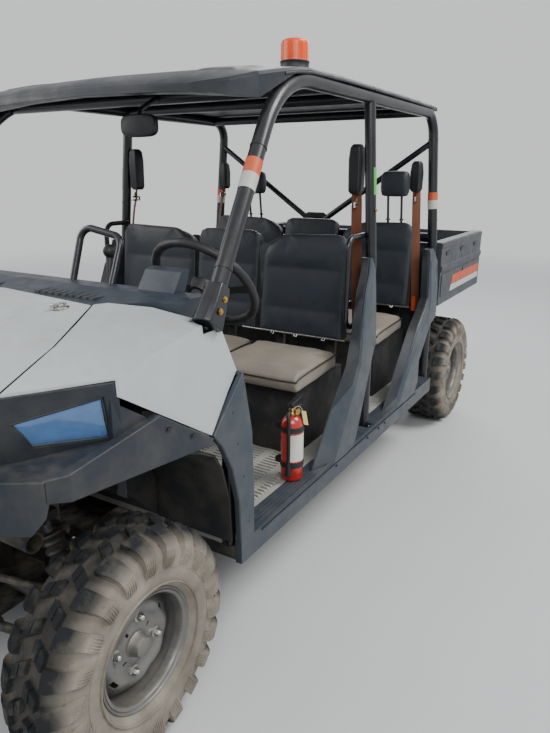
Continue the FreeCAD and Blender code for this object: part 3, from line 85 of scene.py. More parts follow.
# name, place, aim, width, height, watts
LAMPS = (
    ("sun_side", (4.5, 1.5, 6.5), (0, -0.2, 0.8), 3.2, 3.2, 420),
    ("key", (4.2, -5.2, 5.2), (0.2, -0.4, 0.8), 4.0, 3.0, 270),
    ("fill", (-5.5, -3.5, 4.0), (0, 0, 0.9), 4.0, 4.0, 170),
    ("back", (-1.5, 6.0, 4.5), (0, 0.5, 1.0), 4.0, 3.0, 150),
)


def make_light():
    for name, place, aim, width, height, watts in LAMPS:
        data = bpy.data.lights.new(name, "AREA")
        data.shape = "RECTANGLE"
        data.size = width
        data.size_y = height
        data.energy = watts
        lamp = bpy.data.objects.new(name, data)
        lamp.location = place
        lamp.rotation_euler = (Vector(aim) - Vector(place)).to_track_quat("-Z", "Y").to_euler()
        bpy.context.collection.objects.link(lamp)
    world = bpy.data.worlds.new("studio")
    bpy.context.scene.world = world
    world.use_nodes = True
    tree = world.node_tree
    tree.nodes.clear()
    out = tree.nodes.new("ShaderNodeOutputWorld")
    mix = tree.nodes.new("ShaderNodeMixShader")
    path = tree.nodes.new("ShaderNodeLightPath")
    light = tree.nodes.new("ShaderNodeBackground")
    light.inputs["Color"].default_value = (0.80, 0.88, 1.0, 1)
    light.inputs["Strength"].default_value = 0.42
    shown = tree.nodes.new("ShaderNodeBackground")
    shown.inputs["Color"].default_value = BACKDROP
    shown.inputs["Strength"].default_value = BACKDROP_STRENGTH
    seen = path.outputs["Is Camera Ray"]
    for kind in ("Is Glossy Ray", "Is Transmission Ray"):
        either = tree.nodes.new("ShaderNodeMath")
        either.operation = "MAXIMUM"
        tree.links.new(seen, either.inputs[0])
        tree.links.new(path.outputs[kind], either.inputs[1])
        seen = either.outputs[0]
    tree.links.new(seen, mix.inputs[0])
    tree.links.new(light.outputs[0], mix.inputs[1])
    tree.links.new(shown.outputs[0], mix.inputs[2])
    tree.links.new(mix.outputs[0], out.inputs[0])


# Materials

class Shader:
    """A material's node tree with short calls."""

    def __init__(self, name):
        self.material = bpy.data.materials.new(name)
        self.material.use_nodes = True
        self.tree = self.material.node_tree
        self.bsdf = self.tree.nodes["Principled BSDF"]
        self.place = self.add("ShaderNodeTexCoord").outputs["Object"]

    def add(self, kind, **settings):
        new = self.tree.nodes.new(kind)
        for key, value in settings.items():
            setattr(new, key, value)
        return new

    def link(self, source, target):
        self.tree.links.new(source, target)

    def stretched(self, scale):
        """The object's coordinates, stretched along its axes."""
        mapping = self.add("ShaderNodeMapping")
        mapping.inputs["Scale"].default_value = scale
        self.link(self.place, mapping.inputs["Vector"])
        return mapping.outputs[0]

    def noise(self, scale, detail=4.0, rough=0.55, place=None):
        texture = self.add("ShaderNodeTexNoise")
        texture.inputs["Scale"].default_value = scale
        texture.inputs["Detail"].default_value = detail
        texture.inputs["Roughness"].default_value = rough
        self.link(place or self.place, texture.inputs["Vector"])
        return texture.outputs["Fac"]

    def ramp(self, source, low, high, out_low=0.0, out_high=1.0):
        scaled = self.add("ShaderNodeMapRange")
        scaled.inputs["From Min"].default_value = low
        scaled.inputs["From Max"].default_value = high
        scaled.inputs["To Min"].default_value = out_low
        scaled.inputs["To Max"].default_value = out_high
        self.link(source, scaled.inputs["Value"])
        return scaled.outputs[0]

    def mixed(self, factor, low, high):
        """Two colours, or a socket and a colour, mixed by a factor."""
        mix = self.add("ShaderNodeMix", data_type="RGBA")
        self.link(factor, mix.inputs["Factor"])
        for socket, value in ((mix.inputs[6], low), (mix.inputs[7], high)):
            if isinstance(value, tuple):
                socket.default_value = (*value, 1)
            else:
                self.link(value, socket)
        return mix.outputs[2]

    def times(self, first, second):
        product = self.add("ShaderNodeMath", operation="MULTIPLY")
        for socket, value in zip(product.inputs, (first, second)):
            if isinstance(value, float):
                socket.default_value = value
            else:
                self.link(value, socket)
        return product.outputs[0]

    def upward(self):
        """1 where the surface faces up, in the piece's own axes."""
        split = self.add("ShaderNodeSeparateXYZ")
        self.link(self.tree.nodes["Texture Coordinate"].outputs["Normal"], split.inputs[0])
        return self.ramp(split.outputs[2], 0.2, 0.9)

    def bump(self, height, strength, distance, below=None):
        bump = self.add("ShaderNodeBump")
        bump.inputs["Strength"].default_value = strength
        bump.inputs["Distance"].default_value = distance
        self.link(height, bump.inputs["Height"])
        if below is not None:
            self.link(below, bump.inputs["Normal"])
        return bump.outputs[0]


def srgb(red, green, blue):
    """A display colour of 0 to 255 as the shader's linear colour."""
    def channel(value):
        value /= 255
        return value / 12.92 if value <= 0.04045 else ((value + 0.055) / 1.055) ** 2.4
    return tuple(channel(value) for value in (red, green, blue))


def shade(colour, factor):
    return tuple(min(channel * factor, 1) for channel in colour)


DUST = srgb(150, 141, 124)


def surface(name, colour, rough, metal=0.0, vary=0.14, patch=5.0, grain=0.0, grain_scale=700.0, grain_depth=0.0004,
            dust=0.0, dust_scale=7.0, scratches=0.0, coat=0.0, specular=0.5):
    """A worn, dusty surface: patches of colour, grain, dust on top and in blotches, and scratches."""
    new = Shader(name)
    blotch = new.ramp(new.noise(patch, 5.0), 0.3, 0.7)
    tint = new.mixed(blotch, shade(colour, 1 - vary), shade(colour, 1 + vary))
    fine = new.noise(grain_scale, 2.0)
    rough_out = new.ramp(new.noise(patch * 3, 6.0, 0.65), 0.3, 0.75, max(rough - 0.09, 0.04), min(rough + 0.12, 1))
    if scratches:
        lines = new.noise(14.0, 8.0, 0.7, new.stretched((1.0, 9.0, 30.0)))
        mask = new.times(new.ramp(lines, 0.64, 0.70), scratches)
        tint = new.mixed(mask, tint, shade(colour, 1.9) if max(colour) < 0.3 else shade(colour, 0.6))
    if dust:
        cloud = new.ramp(new.noise(dust_scale, 8.0, 0.62), 0.42, 0.72, 0.0, dust)
        tint = new.mixed(cloud, tint, DUST)
        settled = new.times(new.upward(), new.ramp(new.noise(dust_scale * 4, 6.0), 0.35, 0.75, 0.0, dust * 0.7))
        tint = new.mixed(settled, tint, DUST)
    new.link(tint, new.bsdf.inputs["Base Color"])
    new.link(rough_out, new.bsdf.inputs["Roughness"])
    new.bsdf.inputs["Metallic"].default_value = metal
    new.bsdf.inputs["Specular IOR Level"].default_value = specular
    if coat:
        new.bsdf.inputs["Coat Weight"].default_value = coat
        new.bsdf.inputs["Coat Roughness"].default_value = 0.12
    height = new.bump(new.noise(patch * 9, 3.0), 0.12, 0.0015)
    if grain:
        height = new.bump(fine, grain, grain_depth, height)
    new.link(height, new.bsdf.inputs["Normal"])
    return new.material


def glass(name, colour, rough, transmission=0.0, alpha=1.0, vary=0.08):
    """A lens in the given colour, with ripples moulded into it. The red lens's colour is its own tint; the clear
    lens's blue is a painted sky reflection.
    """
    new = Shader(name)
    tint = new.mixed(new.ramp(new.noise(30.0), 0.3, 0.7), shade(colour, 1 - vary), shade(colour, 1 + vary))
    new.link(tint, new.bsdf.inputs["Base Color"])
    new.link(new.ramp(new.noise(60.0), 0.3, 0.7, rough * 0.7, rough * 1.6), new.bsdf.inputs["Roughness"])
    new.bsdf.inputs["Transmission Weight"].default_value = transmission
    new.bsdf.inputs["IOR"].default_value = 1.45
    new.bsdf.inputs["Coat Weight"].default_value = 0.5
    new.bsdf.inputs["Coat Roughness"].default_value = 0.04
    new.bsdf.inputs["Alpha"].default_value = alpha
    new.link(new.bump(new.noise(25.0), 0.04, 0.001), new.bsdf.inputs["Normal"])
    return new.material


def tyre_rubber():
    """Dark rubber on the tread, pale dried dust over the sidewalls."""
    new = Shader("tyre_rubber")
    split = new.add("ShaderNodeSeparateXYZ")
    new.link(new.place, split.inputs[0])
    run = new.add("ShaderNodeMath", operation="ABSOLUTE")
    new.link(split.outputs[1], run.inputs[0])
    ends = []
    for source, centre in ((run.outputs[0], -FRONT_AXLE * MM), (split.outputs[2], AXLE_Z * MM)):
        from_axle = new.add("ShaderNodeMath", operation="SUBTRACT")
        from_axle.inputs[1].default_value = centre
        new.link(source, from_axle.inputs[0])
        ends.append(new.times(from_axle.outputs[0], from_axle.outputs[0]))
    total = new.add("ShaderNodeMath", operation="ADD")
    for socket, end in zip(total.inputs, ends):
        new.link(end, socket)
    outside = new.add("ShaderNodeMath", operation="SQRT")
    new.link(total.outputs[0], outside.inputs[0])
    wall = new.ramp(outside.outputs[0], 0.318, 0.282)
    tread = new.mixed(new.ramp(new.noise(16.0, 8.0, 0.65), 0.48, 0.75, 0.0, 0.55), srgb(34, 36, 38),
                      srgb(112, 106, 96))
    dusty = new.mixed(new.ramp(new.noise(9.0, 8.0, 0.6), 0.34, 0.68, 0.2, 1.0), srgb(104, 97, 87),
                      srgb(152, 144, 131))
    dusty = new.mixed(new.ramp(new.noise(120.0, 4.0), 0.60, 0.74, 0.0, 0.4), dusty, srgb(78, 72, 66))
    new.link(new.mixed(wall, tread, dusty), new.bsdf.inputs["Base Color"])
    new.link(new.ramp(new.noise(20.0), 0.3, 0.7, 0.74, 0.95), new.bsdf.inputs["Roughness"])
    new.bsdf.inputs["Specular IOR Level"].default_value = 0.25
    low = new.bump(new.noise(60.0, 6.0), 0.3, 0.002)
    new.link(new.bump(new.noise(600.0, 2.0), 0.25, 0.0004, low), new.bsdf.inputs["Normal"])
    return new.material


def vinyl(name, colour, dust):
    """Seat vinyl with a pebbled grain, creases and scuffs."""
    new = Shader(name)
    tint = new.mixed(new.ramp(new.noise(6.0, 6.0), 0.3, 0.7), shade(colour, 0.86), shade(colour, 1.14))
    tint = new.mixed(new.ramp(new.noise(17.0, 8.0, 0.7), 0.5, 0.78, 0.0, dust), tint, DUST)
    new.link(tint, new.bsdf.inputs["Base Color"])
    new.link(new.ramp(new.noise(12.0, 6.0), 0.3, 0.7, 0.42, 0.62), new.bsdf.inputs["Roughness"])
    new.bsdf.inputs["Sheen Weight"].default_value = 0.08
    creases = new.bump(new.noise(11.0, 5.0, 0.6, new.stretched((1.0, 1.6, 1.0))), 0.22, 0.004)
    pebble = new.add("ShaderNodeTexVoronoi")
    pebble.inputs["Scale"].default_value = 420.0
    new.link(new.place, pebble.inputs["Vector"])
    new.link(new.bump(pebble.outputs["Distance"], 0.25, 0.0005, creases), new.bsdf.inputs["Normal"])
    return new.material


def webbing(name, colour):
    """Woven strap: fine ribs across, faded and soiled."""
    new = Shader(name)
    tint = new.mixed(new.ramp(new.noise(8.0, 6.0), 0.35, 0.7), shade(colour, 0.7), shade(colour, 1.15))
    ribs = new.add("ShaderNodeTexWave", wave_type="BANDS", bands_direction="Z")
    ribs.inputs["Scale"].default_value = 260.0
    ribs.inputs["Distortion"].default_value = 0.6
    new.link(new.place, ribs.inputs["Vector"])
    tint = new.mixed(new.ramp(ribs.outputs["Fac"], 0.0, 1.0, 0.0, 0.35), tint, shade(colour, 0.55))
    new.link(tint, new.bsdf.inputs["Base Color"])
    new.bsdf.inputs["Roughness"].default_value = 0.8
    new.bsdf.inputs["Sheen Weight"].default_value = 0.25
    new.link(new.bump(ribs.outputs["Fac"], 0.5, 0.0006), new.bsdf.inputs["Normal"])
    return new.material


def make_materials():
    grey = srgb(182, 187, 187)
    slate = srgb(46, 56, 66)
    dark = srgb(31, 37, 45)
    made = {
        "paint": surface("paint_grey", grey, 0.34, vary=0.05, patch=3.0, grain=0.05, dust=0.20, scratches=0.25,
                         coat=0.25),
        "slate": surface("slate_plastic", slate, 0.40, vary=0.06, grain=0.22, dust=0.12, scratches=0.22),
        "trim": surface("textured_plastic", dark, 0.56, vary=0.08, grain=0.5, grain_scale=520.0, dust=0.12,
                        scratches=0.15),
        "roof": surface("roof_plastic", srgb(24, 31, 40), 0.42, vary=0.08, grain=0.3, dust=0.08),
        "dash": surface("dash_plastic", srgb(38, 49, 61), 0.46, vary=0.06, grain=0.35, dust=0.09),
        "cage": surface("cage_coat", srgb(22, 25, 31), 0.32, metal=0.15, vary=0.12, grain=0.18, grain_scale=380.0,
                        dust=0.05, scratches=0.25, coat=0.2),
        "frame": surface("frame_coat", srgb(38, 39, 41), 0.48, metal=0.3, vary=0.15, grain=0.2, dust=0.55,
                         scratches=0.3),
        "skid": surface("skid_plastic", srgb(44, 44, 45), 0.7, grain=0.3, dust=0.7),
        "cast": surface("cast_metal", srgb(120, 120, 118), 0.5, metal=0.75, grain=0.4, grain_scale=300.0, dust=0.5),
        "steel": surface("bright_steel", srgb(176, 176, 172), 0.3, metal=1.0, vary=0.12, patch=20.0, grain=0.1,
                         dust=0.2),
        "wheel": surface("wheel_steel", srgb(112, 112, 111), 0.38, metal=0.55, vary=0.16, patch=12.0, grain=0.15,
                         dust=0.40, dust_scale=16.0, scratches=0.2),
        "rubber": surface("black_rubber", srgb(15, 18, 23), 0.5, vary=0.15, grain=0.3, grain_scale=500.0, dust=0.05),
        "mat": surface("floor_mat", srgb(158, 158, 151), 0.72, vary=0.12, patch=7.0, grain=0.4, dust=0.35),
        "bed": surface("bed_plastic", srgb(48, 54, 61), 0.46, vary=0.07, grain=0.35, dust=0.12, scratches=0.25),
        "red": surface("red_enamel", srgb(176, 22, 20), 0.24, vary=0.10, patch=9.0, dust=0.12, scratches=0.3,
                       coat=0.5),
        "brass": surface("brass_zinc", srgb(186, 152, 84), 0.32, metal=1.0, vary=0.18, patch=60.0, dust=0.15),
        "orange_band": surface("orange_band", srgb(206, 76, 20), 0.45, vary=0.10, patch=18.0, grain=0.2, dust=0.25),
        "white_band": surface("white_band", srgb(196, 196, 190), 0.4, vary=0.08, patch=18.0, grain=0.2, dust=0.3),
        "green_label": surface("green_label", srgb(70, 178, 74), 0.45, vary=0.08, patch=30.0, grain=0.1, dust=0.1),
        "blank_label": surface("blank_label", srgb(214, 212, 202), 0.45, vary=0.06, patch=24.0, grain=0.1, dust=0.2),
        "yellow_tag": surface("yellow_tag", srgb(206, 190, 120), 0.6, vary=0.10, patch=24.0, grain=0.1, dust=0.2),
        "stripe": surface("orange_stripe", srgb(200, 70, 26), 0.45, vary=0.12, patch=10.0, dust=0.15),
        "seat_taupe": vinyl("seat_taupe", srgb(134, 126, 113), 0.35),
        "seat_slate": vinyl("seat_slate", srgb(27, 34, 43), 0.03),
        "piping": surface("piping", srgb(36, 35, 34), 0.5, grain=0.3, dust=0.1),
        "strap": webbing("strap_orange", srgb(112, 60, 32)),
        "amber": surface("amber_lens", srgb(240, 82, 0), 0.3, vary=0.08, patch=20.0, coat=0.15),
        "red_lens": glass("red_lens", srgb(150, 14, 14), 0.14, transmission=0.2),
        # the headlamp lens's and reflector's blue is a painted sky reflection: the real lens is clear and the
        # reflector chrome
        "clear_lens_painted_reflection": glass("clear_lens_painted_reflection", srgb(120, 164, 214), 0.04, transmission=0.55),
        "reflector": surface("reflector", srgb(150, 184, 226), 0.12, metal=1.0, vary=0.10, patch=9.0),
        "mirror": surface("mirror_glass", srgb(200, 208, 214), 0.06, metal=1.0, vary=0.03, patch=30.0),
        "shock": surface("shock_paint", srgb(60, 62, 66), 0.4, metal=0.4, vary=0.15, patch=20.0, dust=0.5),
        "spring": surface("spring_paint", srgb(52, 54, 58), 0.35, metal=0.4, vary=0.15, patch=30.0, dust=0.4),
        "liner": surface("liner_plastic", srgb(30, 31, 33), 0.66, vary=0.10, grain=0.4, dust=0.16),
        "facet": surface("facet_plastic", srgb(22, 29, 37), 0.46, vary=0.08, grain=0.3, dust=0.06),
        "face": surface("gauge_face", srgb(20, 22, 26), 0.2, vary=0.1, patch=40.0, coat=0.6),
    }
    made["tyre"] = tyre_rubber()
    return made


MATERIALS = make_materials()

# carried-over nodes by material
PLAIN_NODES = {
    "frame": ("main_frame", "front_bumper", "hitch_receiver", "front_arms", "rear_suspension", "tie_rod_left",
              "tie_rod_right", "seat_base_front", "seat_base_rear"),
    "skid": ("skid_plate",),
    "cast": ("driveline", "engine", "knuckle_left", "knuckle_right"),
    "steel": ("steering_rack",),
    "cage": ("cage_left", "cage_right", "cage_crossbars", "grab_bar"),
    "trim": ("front_liner", "steering_column", "belt_retractors", "rear_bulkhead", "nose_fascia", "wheel_flares"),
    "slate": ("rocker_panels", "side_panels", "pillar_panels", "quarter_panels"),
    "paint": ("hood", "front_fenders"),
    "roof": ("roof",),
    "mat": ("floor",),
    "dash": ("dash",),
    "bed": ("bed", "tailgate"),
    "rubber": ("steering_wheel", "cab_controls", "mirror", "hood_latches"),
    "shock": ("shocks",),
    "red": ("fire_extinguisher",),
    "amber": ("beacon",),
    "red_lens": ("tail_lamps",),
    # the headlamps' blue colour is a painted sky reflection
    "reflector": ("headlamps",),
    "strap": ("seat_belts",),
    "seat_taupe": ("seat_cushion_front", "seat_cushion_rear"),
    "seat_slate": ("seat_back_front", "seat_back_rear", "head_restraints"),
    "wheel": ("rim_front_left", "rim_front_right", "rim_rear_left", "rim_rear_right"),
    "tyre": ("tyre_front_left", "tyre_front_right", "tyre_rear_left", "tyre_rear_right"),
}


def dress_nodes():
    for material, names in PLAIN_NODES.items():
        for name in names:
            piece = NODES[name]
            piece.data.materials.clear()
            piece.data.materials.append(MATERIALS[material])


# Building blocks

# faces that meet at a smaller angle count as one
FLAT = math.radians(1.5)


def finish_piece(piece, material, body):
    """Gives a piece its material and body."""
    piece.data.materials.clear()
    piece.data.materials.append(MATERIALS[material])
    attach(piece, body)
    return piece


def from_bmesh(name, mesh, material, body, smooth=35.0):
    """A piece from a mesh in millimetres."""
    bmesh.ops.scale(mesh, vec=(MM, MM, MM), verts=mesh.verts)
    bmesh.ops.recalc_face_normals(mesh, faces=mesh.faces)
    data = bpy.data.meshes.new(name)
    mesh.to_mesh(data)
    mesh.free()
    piece = bpy.data.objects.new(name, data)
    bpy.context.collection.objects.link(piece)
    if smooth:
        soften(piece, smooth)
    return finish_piece(piece, material, body)


def soften(piece, degrees):
    """Smooth shading, kept sharp over edges steeper than this."""
    data = piece.data
    data.polygons.foreach_set("use_smooth", [True] * len(data.polygons))
    data.set_sharp_from_angle(angle=math.radians(degrees))


def bevel(piece, width, segments=2, degrees=30.0):
    modifier = piece.modifiers.new("bevel", "BEVEL")
    modifier.width = width * MM
    modifier.segments = segments
    modifier.limit_method = "ANGLE"
    modifier.angle_limit = math.radians(degrees)
    modifier.harden_normals = True
    return piece


def clean(mesh, weld):
    """Corners closer than a distance made one, and flat neighbouring faces joined."""
    bmesh.ops.remove_doubles(mesh, verts=mesh.verts, dist=weld)
    bmesh.ops.dissolve_limit(mesh, angle_limit=FLAT, verts=mesh.verts, edges=mesh.edges)


def dressed(node, material, body, width=3.0, segments=2, degrees=30.0):
    """The node's own shape with its edges rounded."""
    mesh = bmesh.new()
    mesh.from_mesh(NODES[node].data)
    clean(mesh, 2e-5)
    bmesh.ops.scale(mesh, vec=(1000, 1000, 1000), verts=mesh.verts)
    piece = from_bmesh(node + "_dressed", mesh, material, body, smooth=degrees)
    bevel(piece, width, segments, degrees)
    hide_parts(node)
    return piece


def set_mesh(piece):
    """The piece with its modifiers made into its mesh."""
    data = bpy.data.meshes.new_from_object(piece.evaluated_get(bpy.context.evaluated_depsgraph_get()))
    piece.modifiers.clear()
    piece.data = data


def bridge(mesh, rings):
    """A closed form through rings of the same number of points."""
    rings = [[mesh.verts.new(place) for place in ring] for ring in rings]
    for low, high in zip(rings, rings[1:]):
        for index in range(len(low)):
            following = (index + 1) % len(low)
            mesh.faces.new((low[index], low[following], high[following], high[index]))
    mesh.faces.new(list(reversed(rings[0])))
    mesh.faces.new(rings[-1])


def join_rows(mesh, rows):
    """Faces between neighbouring rows of corners, open at the rows' ends."""
    for low, high in zip(rows, rows[1:]):
        for index in range(len(low) - 1):
            mesh.faces.new((low[index], low[index + 1], high[index + 1], high[index]))


def raw(mesh):
    """A bare object from a mesh, to cut or be cut."""
    bmesh.ops.recalc_face_normals(mesh, faces=mesh.faces)
    data = bpy.data.meshes.new("raw")
    mesh.to_mesh(data)
    mesh.free()
    made = bpy.data.objects.new("raw", data)
    bpy.context.collection.objects.link(made)
    return made


def from_above(outline, low, high):
    """A prism over an outline in plan (x, y)."""
    mesh = bmesh.new()
    add_prism(mesh, [(x, y, low) for x, y in outline], (0, 0, 1), high - low)
    return raw(mesh)


def from_side(outline, low, high):
    """A prism across from an outline in side view (y, z)."""
    mesh = bmesh.new()
    add_prism(mesh, [(low, y, z) for y, z in outline], (1, 0, 0), high - low)
    return raw(mesh)


def carve(base, *steps):
    """The base after boolean steps of (operation, tool). The tools go."""
    for operation, tool in steps:
        step = base.modifiers.new("carve", "BOOLEAN")
        step.operation = operation
        step.object = tool
        step.solver = "EXACT"
    set_mesh(base)
    for _, tool in steps:
        bpy.data.objects.remove(tool)
    return base


def both(base):
    """The mesh of a one-sided object and of its mirror image. The object goes."""
    mesh = bmesh.new()
    mesh.from_mesh(base.data)
    twin = base.data.copy()
    twin.transform(Matrix.Scale(-1, 4, (1, 0, 0)))
    mesh.from_mesh(twin)
    bpy.data.objects.remove(base)
    clean(mesh, 0.02)
    return mesh


def rounded(corners, bends, steps=8):
    """Straight runs joined by arcs, one radius for each corner between the ends."""
    places = [Vector(corner) for corner in corners]
    out = [places[0]]
    for before, corner, after, bend in zip(places, places[1:], places[2:], bends):
        back = (before - corner).normalized()
        ahead = (after - corner).normalized()
        turn = math.pi - back.angle(ahead)
        reach = bend * math.tan(turn / 2)
        centre = corner + (back + ahead).normalized() * (bend / math.cos(turn / 2))
        start = corner + back * reach - centre
        end = corner + ahead * reach - centre
        for step in range(steps + 1):
            out.append(centre + start.slerp(end, step / steps).normalized() * bend)
    out.append(places[-1])
    return out


def lerp(start, end, share):
    return Vector(start) + (Vector(end) - Vector(start)) * share


def add_box(mesh, low, high, taper=1.0):
    """A block between two corners, its top narrowed to a share."""
    low, high = Vector(low), Vector(high)
    middle = (low + high) / 2
    corners = []
    for z, share in ((low.z, 1.0), (high.z, taper)):
        for x, y in ((low.x, low.y), (high.x, low.y), (high.x, high.y), (low.x, high.y)):
            corners.append(Vector((middle.x + (x - middle.x) * share, middle.y + (y - middle.y) * share, z)))
    verts = [mesh.verts.new(corner) for corner in corners]
    for face in ((3, 2, 1, 0), (4, 5, 6, 7), (0, 1, 5, 4), (1, 2, 6, 5), (2, 3, 7, 6), (3, 0, 4, 7)):
        mesh.faces.new([verts[index] for index in face])


def add_prism(mesh, outline, direction, length):
    """A flat outline of points pushed along a direction."""
    shift = Vector(direction).normalized() * length
    near = [mesh.verts.new(Vector(corner)) for corner in outline]
    far = [mesh.verts.new(Vector(corner) + shift) for corner in outline]
    mesh.faces.new(near)
    mesh.faces.new(list(reversed(far)))
    count = len(outline)
    for index in range(count):
        following = (index + 1) % count
        mesh.faces.new((near[index], far[index], far[following], near[following]))


def add_turned(mesh, profile, origin, axis, segments=32, closed=False):
    """A form turned about an axis: profile of (along, radius)."""
    axis = Vector(axis).normalized()
    side = axis.orthogonal().normalized()
    other = axis.cross(side)
    rings = []
    for along, radius in profile:
        centre = Vector(origin) + axis * along
        if radius < 1e-6:
            rings.append([mesh.verts.new(centre)])
            continue
        ring = []
        for index in range(segments):
            turn = 2 * math.pi * index / segments
            ring.append(mesh.verts.new(centre + (side * math.cos(turn) + other * math.sin(turn)) * radius))
        rings.append(ring)
    pairs = list(zip(rings, rings[1:]))
    if closed:
        pairs.append((rings[-1], rings[0]))
    for low, high in pairs:
        for index in range(segments):
            following = (index + 1) % segments
            if len(low) == 1 and len(high) == 1:
                continue
            if len(low) == 1:
                mesh.faces.new((low[0], high[following], high[index]))
            elif len(high) == 1:
                mesh.faces.new((low[index], low[following], high[0]))
            else:
                mesh.faces.new((low[index], low[following], high[following], high[index]))


def smooth_path(corners, count):
    """Points along a soft curve through the corners."""
    points = [Vector(corner) for corner in corners]
    padded = [points[0] * 2 - points[1]] + points + [points[-1] * 2 - points[-2]]
    out = []
    for index in range(1, len(padded) - 2):
        a, b, c, d = padded[index - 1:index + 3]
        for step in range(count):
            t = step / count
            out.append(0.5 * ((2 * b) + (c - a) * t + (2 * a - 5 * b + 4 * c - d) * t * t
                              + (3 * b - a - 3 * c + d) * t ** 3))
    out.append(points[-1])
    return out


def add_tube(mesh, points, radius, segments=10, flat=1.0, across=None):
    """A tube along points. With flat under 1 it is a strap, thin across its second axis."""
    points = [Vector(point) for point in points]
    rings = []
    side = Vector(across) if across else None
    for index, point in enumerate(points):
        ahead = (points[min(index + 1, len(points) - 1)] - points[max(index - 1, 0)]).normalized()
        if side is None:
            side = ahead.orthogonal()
        side = (side - ahead * side.dot(ahead)).normalized()
        other = ahead.cross(side)
        ring = []
        for step in range(segments):
            turn = 2 * math.pi * step / segments
            ring.append(point + (side * math.cos(turn) + other * (math.sin(turn) * flat)) * radius)
        rings.append(ring)
    bridge(mesh, rings)


def add_bolt(mesh, place, axis, radius, height, sides=6):
    """A bolt head: washer, flats and a chamfered top."""
    add_turned(mesh, ((0, 0), (0, radius * 1.35), (height * 0.2, radius * 1.35), (height * 0.2, radius * 0.2)), place,
               axis, 20)
    add_turned(mesh, ((height * 0.2, 0), (height * 0.2, radius), (height * 0.85, radius), (height, radius * 0.8),
                      (height, 0)), place, axis, sides)


make_camera()
make_light()
dress_nodes()


# Wheels

# name, side, axle's y, tyre's width
WHEELS = (
    ("front_left", 1, FRONT_AXLE, 229),
    ("front_right", -1, FRONT_AXLE, 229),
    ("rear_left", 1, REAR_AXLE, 279),
    ("rear_right", -1, REAR_AXLE, 279),
)
LUG_COUNT = 22
# radius over the lugs, radius of the carcass under them
CROWN = 330.0
TREAD = 312
# half of the vehicle's width, and how far inside it a wheel's disc stands
HALF_WIDTH = 794
DISC_INSET = 74
# radius of the nuts' circle, and the first nut's angle in degrees
NUT_CIRCLE = 78
NUT_TURN = -12


def wheel_body(name):
    return "wheel_" + name


def polar(centre, along, radius, turn):
    """A point by distance along the axle, radius and angle."""
    return Vector((centre.x + along, centre.y - radius * math.sin(turn), centre.z + radius * math.cos(turn)))


def shell_profile(half):
    """The carcass's outside from one bead to the other: along, radius."""
    right = [(half - 33.6, 152), (half - 31, 160), (half - 29, 168), (half - 22, 174), (half - 14, 180),
             (half - 9, 194), (half - 7, 212), (half - 7, 226), (half - 8.5, 246), (half - 12, 264), (half - 20, 281),
             (half - 32, 296), (half - 46, 305), (half - 62, 310), (half - 80, TREAD)]
    return right + [(-x, r) for x, r in reversed(right)]


def add_lug(mesh, centre, side, tip, foot, edges, grow=0.0):
    """A block over the tyre. Tip and foot are paths of (along, radius), edges both sides' angles at each point."""
    rings = []
    for (tip_x, tip_r), (foot_x, foot_r), (first, last) in zip(tip, foot, edges):
        rings.append([mesh.verts.new(place) for place in (
            polar(centre, foot_x * side, foot_r, first - grow), polar(centre, tip_x * side, tip_r, first),
            polar(centre, tip_x * side, tip_r, last), polar(centre, foot_x * side, foot_r, last + grow))])
    join_rows(mesh, rings)
    mesh.faces.new(rings[0])
    mesh.faces.new(list(reversed(rings[-1])))


def shoulder_lug(mesh, centre, side, half, middle):
    """A hooked lug from the tread over the shoulder and down the sidewall."""
    # along from the half width, radius, foot's radius drop, middle's sweep and half width in degrees
    rows = ((-64, 330, 22, 1.6, 4.3), (-48, 327.5, 22, 1.3, 4.6), (-34, 321, 24, 0.7, 4.4), (-18, 310, 22, 0.0, 4.1),
            (-8, 296, 20, -0.6, 4.0), (-3, 280, 16, -1.0, 4.1), (0, 264, 12, -1.1, 4.3), (-2.5, 248, 8, -1.0, 4.6),
            (-6.5, 234, 3, -0.8, 4.9))
    tip = [(half + x, r) for x, r, *_ in rows]
    foot = [(half + x - (10 if r < 300 else 4), r - drop) for x, r, drop, *_ in rows]
    edges = [(middle + math.radians(sweep - wide), middle + math.radians(sweep + wide)) for *_, sweep, wide in rows]
    add_lug(mesh, centre, side, tip, foot, edges, 0.006)
    for offset in (-0.72, -0.36, 0.0, 0.36, 0.72):
        path = rows[4:]
        ribs_tip = [(half + x + 0.2 + 1.6 * (index > 0), r - 4) for index, (x, r, *_) in enumerate(path)]
        ribs_foot = [(x - 5, r) for x, r in ribs_tip]
        ribs = [(middle + math.radians(sweep + offset * wide - 0.28),
                 middle + math.radians(sweep + offset * wide + 0.28)) for *_, sweep, wide in path]
        add_lug(mesh, centre, side, ribs_tip, ribs_foot, ribs)


def middle_lug(mesh, centre, side, half, middle, low, high, lean):
    """A slanting block of the tread's middle, with a cut across it."""
    gap = 2.5 / half
    for start, end in ((low, (low + high) / 2 - gap), ((low + high) / 2 + gap, high)):
        tip = []
        edges = []
        for share in (0.0, 0.5, 1.0):
            x = (start + (end - start) * share) * half
            tip.append((x, CROWN))
            turn = middle + math.radians(lean * (x / half - (low + high) / 2) * 10)
            edges.append((turn - math.radians(3.0), turn + math.radians(3.0)))
        foot = [(x, 308.0) for x, _ in tip]
        add_lug(mesh, centre, side, tip, foot, edges, 0.006)


